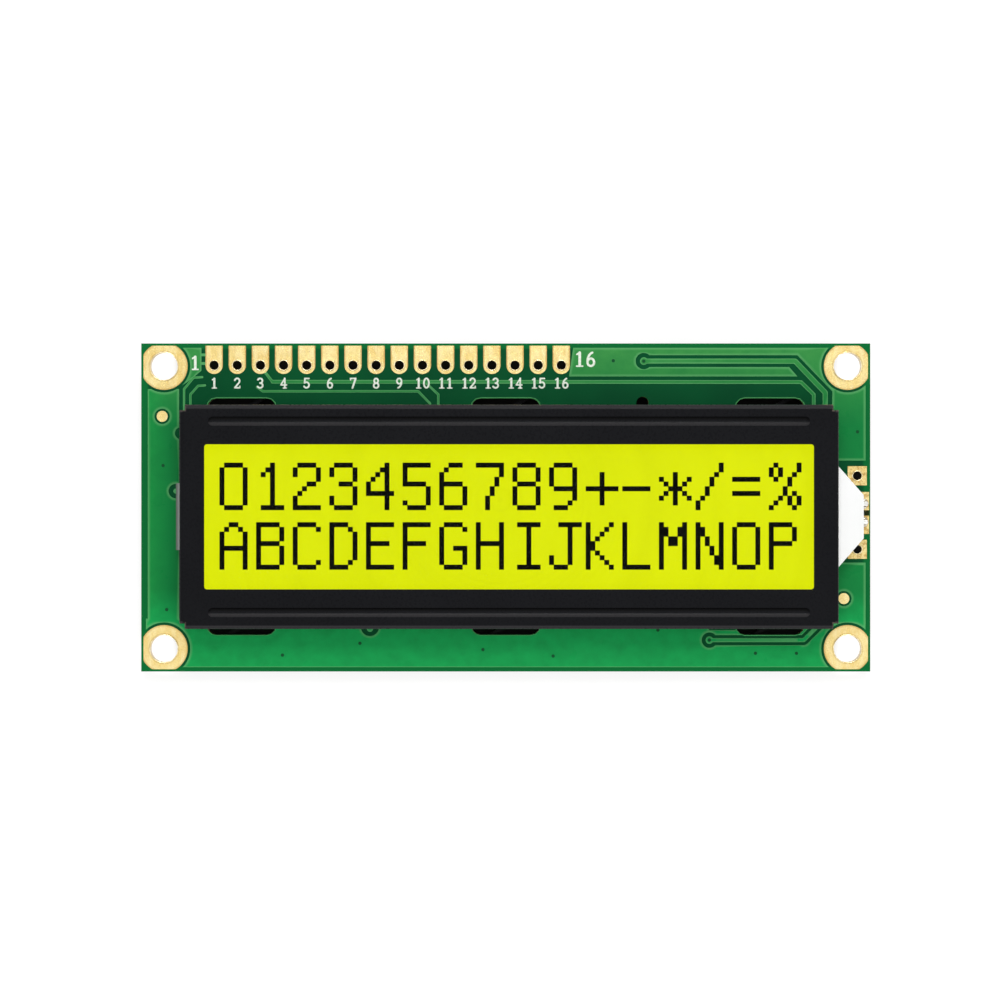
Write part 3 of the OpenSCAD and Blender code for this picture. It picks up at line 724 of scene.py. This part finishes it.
# ---- Printed legend ----------------------------------------------------------------------
# White ink screened over the mask: plain numbers for the header's holes, drawn with fine
# feet as a lettering pen would, and outlines round the chips on the rear.

def arc(cx, cy, rx, ry, start, stop, steps=10):
    turn = [radians(start + (stop - start) * i / steps) for i in range(steps + 1)]
    return [(cx + rx * cos(a), cy + ry * sin(a)) for a in turn]


# each stroke is its weight and its points, in a field 0.62 wide and 1 high
NUMERALS = {
    "0": [(1, arc(0.31, 0.5, 0.23, 0.43, 0, 360, 20))],
    "1": [(0.7, [(0.15, 0.80), (0.32, 0.93)]), (1.2, [(0.33, 0.91), (0.33, 0.08)]),
          (0.7, [(0.14, 0.05), (0.52, 0.05)])],
    "2": [(1, arc(0.30, 0.69, 0.22, 0.24, 165, -35) + [(0.09, 0.08)]),
          (0.9, [(0.09, 0.07), (0.54, 0.07)]), (0.7, [(0.54, 0.07), (0.55, 0.22)])],
    "3": [(1, arc(0.28, 0.71, 0.21, 0.22, 155, -90)), (1, arc(0.28, 0.28, 0.24, 0.22, 90, -155))],
    "4": [(1, [(0.42, 0.06), (0.42, 0.93)]), (0.8, [(0.42, 0.93), (0.06, 0.33), (0.58, 0.33)]),
          (0.7, [(0.28, 0.05), (0.56, 0.05)])],
    "5": [(0.9, [(0.52, 0.92), (0.15, 0.92)]), (1, [(0.15, 0.92), (0.12, 0.52)]),
          (1, arc(0.28, 0.33, 0.24, 0.26, 125, -150, 14))],
    "6": [(1, arc(0.32, 0.30, 0.21, 0.24, 0, 360, 18)), (1, arc(0.52, 0.36, 0.41, 0.57, 105, 185))],
    "7": [(0.7, [(0.08, 0.78), (0.08, 0.92)]), (0.9, [(0.08, 0.92), (0.55, 0.92)]),
          (1.1, [(0.55, 0.92), (0.26, 0.06)])],
    "8": [(1, arc(0.31, 0.71, 0.18, 0.21, 0, 360, 16)), (1, arc(0.31, 0.28, 0.22, 0.22, 0, 360, 18))],
    "9": [(1, arc(0.30, 0.68, 0.21, 0.24, 0, 360, 18)), (1, arc(0.10, 0.62, 0.41, 0.57, -75, 5))],
}


def write_number(art, text, x, y, height, weight, facing=1):
    """Centres a number on x, its foot at y. Facing -1 is for reading from behind."""
    wide = 0.62 * height
    gap = 0.1 * height
    left = -(len(text) * (wide + gap) - gap) / 2
    for n, digit in enumerate(text):
        for share, points in NUMERALS[digit]:
            spots = [(x + facing * (left + n * (wide + gap) + px * height), y + py * height)
                     for px, py in points]
            art.lay(track(share * weight, *spots))


legend = Artwork()
write_number(legend, "1", -34.1, 15.07, 1.6, 0.24)
write_number(legend, "16", 8.7, 15.42, 1.72, 0.25)
for i, x in enumerate(pin_xs):
    write_number(legend, str(i + 1), x, 13.05, 1.2, 0.19)

legend_ink = Finish("legend_ink")
ink_wear = legend_ink.spread(legend_ink.grain(0.25 * mm, 4, 0.7), 0.35, 0.65)
legend_ink.close(legend_ink.body({
    "Base Color": legend_ink.blend(ink_wear, (0.66, 0.78, 0.62), (0.93, 0.97, 0.88)),
    "Roughness": legend_ink.spread(ink_wear, 0, 1, 0.75, 0.55),
    "Normal": legend_ink.bump(legend_ink.grain(0.12 * mm, 3), 0.008 * mm)}))

rear_marks = Artwork()
for x, radius in ((controller_x, controller_r + 0.75), (driver_x, driver_r + 0.75)):
    rear_marks.lay(disc(x, chip_y, radius + 0.09, 72))
    rear_marks.clear(disc(x, chip_y, radius - 0.09, 72))
write_number(rear_marks, "1", -33.9, 15.2, 1.3, 0.20, -1)
write_number(rear_marks, "16", 8.7, 15.0, 1.5, 0.22, -1)
for name, art, face_z, up in (("front_legend", legend, board_top, 1),
                              ("rear_legend", rear_marks, 0, -1)):
    cover(raise_artwork(name, art, (0, 0.03), (0.04, 0.055, 0.055), face_z, up, 0.0),
          legend_ink, "white_film")


# ---- Chips under epoxy, rear -------------------------------------------------------------
# Two bare dies are glued to the board, wired, and each covered with a pool of black epoxy
# that has run out a little unevenly and set with a dull, slightly dimpled skin.

def two_tone(name, first, second, size, gloss, depth, settings=None):
    """A finish whose two tones mingle in grains of a size, with a dented skin."""
    made = Finish(name)
    mingled = made.spread(made.grain(size, 3), 0.3, 0.7)
    sockets = {"Base Color": made.blend(mingled, first, second),
               "Roughness": made.spread(made.grain(size * 1.7, 2), 0.3, 0.7, gloss * 0.8, gloss * 1.2),
               "Normal": made.bump(made.grain(size / 3, 3), depth)}
    sockets.update(settings or {})
    made.close(made.body(sockets))
    return made


def show(name, corners, faces, finish):
    """Links a new, smooth piece that rides on the board. Corners are in millimetres."""
    mesh = bpy.data.meshes.new(name)
    mesh.from_pydata([[v * mm for v in corner] for corner in corners], [], faces)
    for face in mesh.polygons:
        face.use_smooth = True
    mesh.materials.append(finish.material)
    made = bpy.data.objects.new(name, mesh)
    bpy.context.scene.collection.objects.link(made)
    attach(made, "root")
    return made


def pool(name, x, y, z, radius, height, finish, wander, squash=1.0, sides=96, rings=20):
    """A drop that has run out on the board, uneven in outline; its height may point down."""
    corners, faces = [], []
    for i in range(rings + 1):
        share = 1 - i / rings
        rise = height * (1 - share ** 2.4) ** 0.75
        for k in range(sides):
            a = 2 * pi * k / sides
            reach = share * radius * (0.955 + 0.025 * sin(2 * a + wander[0])
                                      + 0.014 * sin(3 * a + wander[1]) + 0.005 * sin(7 * a))
            corners.append((x + reach * cos(a), y + squash * reach * sin(a), z + rise))
    for i in range(rings):
        for k in range(sides):
            n, m = i * sides + k, i * sides + (k + 1) % sides
            faces.append((n, m, m + sides, n + sides))
    faces.append(tuple(reversed(range(sides))))
    if height < 0:
        faces = [tuple(reversed(face)) for face in faces]
    made = show(name, corners, faces, finish)
    made.data.polygons[-1].use_smooth = False
    joined = bmesh.new()
    joined.from_mesh(made.data)
    bmesh.ops.remove_doubles(joined, verts=joined.verts, dist=1e-8)
    joined.to_mesh(made.data)
    joined.free()
    return made


silicon = two_tone("silicon", (0.07, 0.07, 0.09), (0.16, 0.15, 0.18), 0.15 * mm, 0.2, 0.001 * mm,
                   {"Metallic": 0.3})
dress("controller_chip", silicon)
dress("driver_chip", silicon)
black_epoxy = two_tone("black_epoxy", (0.004, 0.004, 0.004), (0.009, 0.009, 0.010), 1.6 * mm, 0.3,
                       0.02 * mm, {"Specular IOR Level": 0.35})
pool_h = 1.3
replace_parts(pool("controller_pool", controller_x, chip_y, 0, controller_r, -pool_h, black_epoxy,
                 (0.3, 1.9)), "controller_epoxy")
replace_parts(pool("driver_pool", driver_x, chip_y, 0, driver_r, -pool_h, black_epoxy,
                 (2.1, 0.4)), "driver_epoxy")


# ---- Chip resistors and capacitors, rear -------------------------------------------------
# Ceramic bodies with tinned ends, soldered to their pads. The resistors carry a black glaze
# over their film; the capacitors are solid brown ceramic. Each kind is stamped from one set.

def blocks(name, boxes, radius):
    """One mesh of boxes with rounded edges, from their opposite corners."""
    solid = bmesh.new()
    for x0, y0, z0, x1, y1, z1 in boxes:
        cube = bmesh.ops.create_cube(solid, size=mm)["verts"]
        middle = [(x0 + x1) / 2 * mm, (y0 + y1) / 2 * mm, (z0 + z1) / 2 * mm]
        bmesh.ops.scale(solid, vec=(x1 - x0, y1 - y0, z1 - z0), verts=cube)
        bmesh.ops.translate(solid, vec=middle, verts=cube)
    if radius:
        bmesh.ops.bevel(solid, geom=solid.edges[:], offset=radius * mm, segments=2, profile=0.5,
                        affect="EDGES")
    mesh = bpy.data.meshes.new(name)
    solid.to_mesh(mesh)
    solid.free()
    return mesh


def fillets(name, width, reach, height, ends):
    """Solder with a hollow slope, between a pad and each of the two ends of a chip."""
    slope = [(reach * (1 - s) ** 2, height * s ** 2) for s in (0, 0.2, 0.4, 0.6, 0.8, 1)]
    profile = [(-0.02, 0.0)] + slope + [(-0.02, height)]
    corners, faces = [], []
    for end in (-1, 1):
        base = len(corners)
        for side in (-1, 1):
            corners += [(end * side * width / 2, end * (ends + d), -h) for d, h in profile]
        n = len(profile)
        faces.append(tuple(base + i for i in range(n)))
        faces.append(tuple(base + n + i for i in reversed(range(n))))
        faces += [(base + i, base + n + i, base + n + (i + 1) % n, base + (i + 1) % n)
                  for i in range(n)]
    mesh = bpy.data.meshes.new(name)
    mesh.from_pydata([[v * mm for v in corner] for corner in corners], [], faces)
    solid = bmesh.new()
    solid.from_mesh(mesh)
    bmesh.ops.recalc_face_normals(solid, faces=solid.faces)
    solid.to_mesh(mesh)
    solid.free()
    return mesh


def stamp(name, solid, places, finish, turned):
    """Copies of a solid at places, as one piece, a quarter turned or not."""
    if turned:
        solid.transform(Matrix.Rotation(pi / 2, 4, "Z"))
    pattern = Pattern(name, {})
    info = pattern.add("GeometryNodeObjectInfo", sockets={"Object": pattern.start["Solid"]})
    pattern.copy_at_places(info.outputs["Geometry"])
    made = pattern.make(name, places, finish, solid)
    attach(made, "root")
    return made


tin = two_tone("tin", (0.55, 0.55, 0.53), (0.80, 0.80, 0.76), 0.3 * mm, 0.24, 0.012 * mm,
               {"Metallic": 1.0})
alumina = two_tone("alumina", (0.70, 0.70, 0.66), (0.82, 0.82, 0.78), 0.2 * mm, 0.5, 0.004 * mm)
glaze = two_tone("resistor_glaze", (0.006, 0.006, 0.008), (0.014, 0.014, 0.016), 0.3 * mm, 0.25,
                 0.006 * mm)
brown_ceramic = two_tone("capacitor_ceramic", (0.30, 0.19, 0.10), (0.40, 0.27, 0.16), 0.25 * mm, 0.45,
                         0.004 * mm)


def chips(name, places, length, width, thick, turned, film):
    """Chips that lie along Y, or along X when turned, with their tops down."""
    cap = length * 0.19
    side = width / 2
    end = length / 2
    pad_end = end + 0.45
    low = -thick + (0.05 if film else 0.03)
    core = blocks(name, [(-side + 0.02, -end + 0.05, low, side - 0.02, end - 0.05, -0.02)], 0.03)
    body = stamp(name + "_bodies", core, places, alumina if film else brown_ceramic,
                 turned)
    caps = blocks(name, [(-side, y0, -thick, side, y1, -0.01)
                         for y0, y1 in ((-end, cap - end), (end - cap, end))], 0.05)
    stamp(name + "_ends", caps, places, tin, turned)
    joints = fillets(name, width * 0.94, 0.38, thick * 0.72, end - 0.01)
    stamp(name + "_joints", joints, places, tin, turned)
    pads = blocks(name, [(-side - 0.08, y0, -0.045, side + 0.08, y1, 0.0)
                         for y0, y1 in ((-pad_end, cap - end), (end - cap, pad_end))], 0.01)
    stamp(name + "_pads", pads, places, tin, turned)
    if film:
        top = blocks(name, [(-side + 0.03, cap - end, -thick + 0.01,
                             side - 0.03, end - cap, low + 0.01)], 0.012)
        stamp(name + "_glaze", top, places, glaze, turned)
    return body


for name, count, length, width in (
        ("bias_resistors", 5, 2.0, 1.25), ("oscillator_resistor", 1, 2.0, 1.25),
        ("backlight_resistor", 1, 3.2, 1.6), ("capacitors", 2, 2.0, 1.25)):
    low, high = corners_of(name)
    lies_along_x = count == 1 and high.x - low.x > high.y - low.y
    step = (high.x - low.x - width) / max(count - 1, 1)
    first = low.x + width / 2 if count > 1 else (low.x + high.x) / 2
    places = [(first + k * step, (low.y + high.y) / 2, 0) for k in range(count)]
    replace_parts(chips(name, places, length, width, high.z - low.z, lies_along_x,
                      name != "capacitors"), name)


# ---- Backlight ---------------------------------------------------------------------------
# A white moulded housing with a nose at its right end. A painted glow lightens the nose most
# beside the bezel, a painted light against the bezel's shade, and the short lug at the left end
# is painted grey as shade. In its pocket lie a reflector film, a clear guide and a milky diffuser.

white_plastic = Finish("white_plastic")
flow = white_plastic.spread(white_plastic.grain(3.5 * mm, 2, 0.5, (0.5, 1.5, 1)), 0.3, 0.7)
pale = white_plastic.blend(flow, (0.93, 0.94, 0.93), (0.955, 0.96, 0.955))
across = white_plastic.axes()[0]
# Painted shade: the short lug at the housing's left end is coloured grey.
lug = white_plastic.blend(white_plastic.spread(across, -35.6 * mm, -35.9 * mm),
                          (0.40, 0.42, 0.40), (0.12, 0.14, 0.12))
pale = white_plastic.blend(white_plastic.spread(across, -35.0 * mm, -35.3 * mm), pale, lug)
# Painted light: the nose glows most where it meets the bezel, lifting the bezel's shade, and not at its
# tip.
nose_painted_light = white_plastic.spread(across, 38.6 * mm, 36.2 * mm) * across.over(35 * mm)
white_plastic.close(white_plastic.body({
    "Base Color": pale, "Roughness": white_plastic.spread(flow, 0, 1, 0.38, 0.5),
    "Specular IOR Level": 0.4, "Emission Strength": 1.0,
    "Emission Color": white_plastic.blend(nose_painted_light, (0.0, 0.0, 0.0), (0.16, 0.16, 0.16)),
    "Normal": white_plastic.bump(white_plastic.grain(0.15 * mm, 3), 0.004 * mm)}))
dress("backlight_housing", white_plastic)
dress("reflector_film", two_tone("reflector", (0.88, 0.88, 0.90), (0.95, 0.95, 0.96), 2 * mm, 0.2,
                                 0.001 * mm, {"Metallic": 0.4}))
dress("diffuser_film", two_tone("diffuser", (0.90, 0.90, 0.86), (0.95, 0.95, 0.92), 0.2 * mm, 0.75,
                                0.004 * mm))
clear_acrylic = Finish("clear_acrylic")
across, along = clear_acrylic.axes()[:2]
etched = across.wave(0.8 * mm) * along.wave(0.8 * mm)
acrylic_tone = clear_acrylic.blend(etched.over(0.6), (0.84, 0.92, 0.86), (0.96, 0.98, 0.95))
clear_acrylic.close(clear_acrylic.body({
    "Base Color": acrylic_tone, "Roughness": clear_acrylic.spread(etched, 0.5, 0.7, 0.06, 0.4),
    "Alpha": clear_acrylic.spread(etched, 0.55, 0.7, 0.35, 0.7),
    "Normal": clear_acrylic.bump(clear_acrylic.grain(4 * mm, 2), 0.001 * mm)}))
dress("light_guide", clear_acrylic)


# ---- Backlight lamp and its joints -------------------------------------------------------
# A yellow-green lamp stands in the nose. Its two tinned leads come out at the nose's tip,
# bend down and are soldered to the gold lands at the board's edge.

dress("backlight_lamp", two_tone("lamp_case", (0.66, 0.70, 0.22), (0.78, 0.82, 0.34), 0.8 * mm, 0.3,
                                 0.004 * mm))
dress("lamp_leads", tin)
fluxed_tin = two_tone("fluxed_tin", (0.30, 0.22, 0.10), (0.86, 0.84, 0.78), 0.45 * mm, 0.22, 0.012 * mm,
                      {"Metallic": 1.0})
dress("lamp_solder", fluxed_tin)
solder_low, solder_high = corners_of("lamp_solder")
solder_x = centre("lamp_solder")[0] - 0.08
land_top = corners_of("lamp_lands")[1].z
for name, y in (("solder_flow_upper", solder_high.y - 0.4), ("solder_flow_lower", solder_low.y + 0.4)):
    pool(name, solder_x, y, land_top - 0.01, 0.46, 0.16, fluxed_tin, (y, 1.1), 1.35, 36, 8)


# ---- Glass cell --------------------------------------------------------------------------
# Two glass plates glued round their rims hold the liquid crystal, and each carries a
# polarizer. The front polarizer has a matt skin; the lit field shows yellow-green.

def clear_sheet(name, first, second, size, gloss):
    """A finish for glass or film that lets nearly all light through."""
    return two_tone(name, first, second, size, gloss, 0.0005 * mm,
                    {"Alpha": 0.04, "Specular IOR Level": 0.15})


cell_glass = clear_sheet("cell_glass", (0.008, 0.014, 0.009), (0.012, 0.020, 0.012), 6 * mm, 0.05)
polarizer = clear_sheet("polarizer_film", (0.012, 0.014, 0.002), (0.016, 0.018, 0.003), 5 * mm, 0.3)
dress("front_glass", cell_glass)
dress("rear_glass", cell_glass)
dress("front_polarizer", polarizer)
dress("rear_polarizer", polarizer)
dress("cell_seal", two_tone("seal_glue", (0.50, 0.50, 0.44), (0.62, 0.62, 0.56), 0.5 * mm, 0.5,
                            0.01 * mm))
crystal = Finish("lit_crystal")
cloud = crystal.spread(crystal.grain(14 * mm, 2), 0.3, 0.7)
crystal.close(crystal.body({
    "Base Color": crystal.blend(cloud, (0.05, 0.06, 0.0), (0.06, 0.07, 0.0)),
    "Roughness": crystal.spread(cloud, 0, 1, 0.45, 0.6),
    "Specular IOR Level": 0.05, "Emission Strength": 1.0,
    "Emission Color": crystal.blend(cloud, (0.745, 0.835, 0.0), (0.775, 0.862, 0.001))}))
dress("liquid_crystal", crystal)


# ---- Display dots ------------------------------------------------------------------------
# The dots that are switched on: two rows of sixteen plain characters, each up to seven dots
# wide and ten high, etched in the clear conductor on the glass and seen as dark squares.

# O is a row whose first and last dots are on
O = "#....#"
GLYPHS = {
    "0": [".####."] + 8 * [O] + [".####."],
    "1": ["...#..", "..##..", ".#.#.."] + 6 * ["...#.."] + [".#####"],
    "2": [".####.", O, O, ".....#", "...##.", "..#...", ".#....", "#.....", "#.....", "######"],
    "3": [".####.", O, O, ".....#", "..###.", ".....#", ".....#", O, O, ".####."],
    "4": ["....#.", "...##.", "..#.#.", ".#..#.", "#...#.", "#...#.", "######"] + 3 * ["....#."],
    "5": ["######"] + 3 * ["#....."] + ["#####."] + 3 * [".....#"] + [O, ".####."],
    "6": ["..###.", ".#....", "#.....", "#.....", "#####."] + 4 * [O] + [".####."],
    "7": ["######", ".....#", ".....#", "....#.", "....#.", "...#..", "...#.."] + 3 * ["..#..."],
    "8": [".####.", O, O, O, ".####.", O, O, O, O, ".####."],
    "9": [".####.", O, O, O, O, ".#####", ".....#", ".....#", "....#.", ".###.."],
    "+": ["", ""] + 3 * ["...#..."] + ["#######"] + 3 * ["...#..."],
    "-": 5 * [""] + ["######"],
    "*": ["", "", "...#...", "#..#..#", ".#.#.#.", "..###..", ".#.#.#.", "#..#..#", "...#..."],
    "/": 2 * [".....#"] + ["....#."] + 2 * ["...#.."] + 2 * ["..#..."] + [".#...."] + 2 * ["#....."],
    "=": ["", "", "", "######", "", "", "######"],
    "%": [".#....#", "#.#...#", "#.#..#.", ".#..#..", "....#..",
          "...#...", "...#.#.", "..#.#.#", ".#..#.#", "#....#."],
    "A": ["..##..", ".#..#.", O, O, O, "######", O, O, O, O],
    "B": ["#####.", O, O, O, "#####.", O, O, O, O, "#####."],
    "C": [".####.", O] + 6 * ["#....."] + [O, ".####."],
    "D": ["####..", "#...#."] + 6 * [O] + ["#...#.", "####.."],
    "E": ["######"] + 3 * ["#....."] + ["#####."] + 4 * ["#....."] + ["######"],
    "F": ["######"] + 3 * ["#....."] + ["#####."] + 5 * ["#....."],
    "G": [".####.", O] + 3 * ["#....."] + ["#..###", O, O, O, ".####."],
    "H": 4 * [O] + ["######"] + 5 * [O],
    "I": [".#####"] + 8 * ["...#.."] + [".#####"],
    "J": ["..#####"] + 6 * ["....#.."] + 2 * ["#...#.."] + [".###..."],
    "K": [O, "#...#.", "#..#..", "#.#...", "##....", "##....", "#.#...", "#..#..", "#...#.", O],
    "L": 9 * ["#....."] + ["######"],
    "M": [O, "##..##", "##..##", "#.##.#", "#.##.#"] + 5 * [O],
    "N": [O, "##...#", "##...#", "#.#..#", "#.#..#", "#..#.#", "#..#.#", "#...##", "#...##", O],
    "O": [".####."] + 8 * [O] + [".####."],
    "P": ["#####.", O, O, O, "#####."] + 5 * ["#....."],
}
dot_x, dot_y = 0.5035, 0.5126
sign_step, row_step = 3.976, 6.464
text_left = mid_x - 31.42 + dot_x / 2
text_top = mid_y + 5.86 - dot_y / 2
crystal_top = corners_of("liquid_crystal")[1].z
dot_places = [(text_left + n * sign_step + c * dot_x,
               text_top - row * row_step - r * dot_y, crystal_top)
              for row, line in enumerate(("0123456789+-*/=%", "ABCDEFGHIJKLMNOP"))
              for n, sign in enumerate(line)
              for r, dots in enumerate(GLYPHS[sign])
              for c, dot in enumerate(dots) if dot == "#"]
bleed = 0.04
dot_pattern = Pattern("display_dots", {"Dot length": dot_x + bleed, "Dot width": dot_y + bleed,
                                       "Dot depth": 0.008})
dot_size = dot_pattern.add("ShaderNodeCombineXYZ", sockets={
    0: dot_pattern.start["Dot length"], 1: dot_pattern.start["Dot width"],
    2: dot_pattern.start["Dot depth"]})
dot_block = dot_pattern.add("GeometryNodeMeshCube", sockets={"Size": dot_size.outputs[0]})
dot_pattern.copy_at_places(dot_block.outputs[0])
dark_dots = two_tone("dark_dots", (0.0004, 0.0005, 0.0004), (0.001, 0.0012, 0.0008), 3 * mm, 0.6,
                     0.0005 * mm, {"Specular IOR Level": 0.03})
dots = dot_pattern.make("display_dots", dot_places, dark_dots)
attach(dots, "root")


# ---- Contact strips ----------------------------------------------------------------------
# Elastomer strips, pink with fine black stripes of carbon across them, stand on the gold
# fingers and press up against the front glass.

striped = Finish("striped_elastomer")
stripe = striped.axes()[0].wave(0.18 * mm).over(0.5)
rubber = striped.blend(striped.grain(0.4 * mm, 3), (0.62, 0.24, 0.28), (0.74, 0.34, 0.38))
striped.close(striped.body({
    "Base Color": striped.blend(stripe, rubber, (0.012, 0.010, 0.012)),
    "Roughness": striped.spread(striped.grain(0.3 * mm), 0.3, 0.7, 0.55, 0.75),
    "Normal": striped.bump(stripe * 0.3 + striped.grain(0.1 * mm), 0.006 * mm)}))
dress("upper_contact_strip", striped)
dress("lower_contact_strip", striped)


# ---- Bezel -------------------------------------------------------------------------------
# Sheet steel, blanked, grooved and folded, then painted satin black, with a fine texture in
# the paint. Its tabs pass through the board and are twisted. The black is lightened on the
# slopes that face the key lamp and on the folds, a painted highlight, and darkened on the groove
# walls that face away, a painted shade. The steel shows brown at the corner reliefs.

black_steel = Finish("black_steel")
across, along = black_steel.axes()[:2]
peel = black_steel.grain(0.28 * mm, 2)
wear = black_steel.spread(black_steel.grain(7 * mm, 3), 0.3, 0.7)
paint = black_steel.blend(wear, (0.0034, 0.0036, 0.0048), (0.0050, 0.0052, 0.0066))
slope = black_steel.node("ShaderNodeSeparateXYZ", sockets={
    0: black_steel.node("ShaderNodeNewGeometry", out=1)}).socket.node.outputs
lean, level = Wire(black_steel, slope[1]), Wire(black_steel, slope[2])
# Painted highlight on the slopes that face the key lamp and on the folds, painted shade on the groove
# walls that face away.
slanted = black_steel.spread(level, 0.99, 0.93) * black_steel.spread(level, 0.05, 0.3)
from_middle = (along - mid_y * mm).size()
on_face = 1 - from_middle.over(11.3 * mm)
thick = slanted * on_face * black_steel.spread(lean, -0.05, -0.3)
painted_highlight = slanted * black_steel.spread(lean + (1 - on_face), 0.05, 0.3)
paint = black_steel.blend(thick, paint, (0.0006, 0.0006, 0.0008))
paint = black_steel.blend(painted_highlight, paint, (0.030, 0.029, 0.031))
relief = 0.75
edge_x = (across - mid_x * mm).size() - ((bezel_high.x - bezel_low.x) / 2 - relief) * mm
edge_y = from_middle - (bezel_half_w - relief) * mm
flaked = black_steel.spread(black_steel.grain(0.3 * mm, 3), 0.35, 0.6)
bare = edge_x.over(0.0) * edge_y.over(0.0) * flaked
steel_tone = black_steel.blend(bare, paint, (0.085, 0.070, 0.058))
black_steel.close(black_steel.body({
    "Base Color": steel_tone, "Specular IOR Level": 0.06,
    "Roughness": black_steel.spread(peel, 0.3, 0.7, 0.24, 0.34),
    "Normal": black_steel.bump(peel + 0.3 * black_steel.grain(0.06 * mm), 0.0018 * mm)}))
dress("bezel", black_steel)
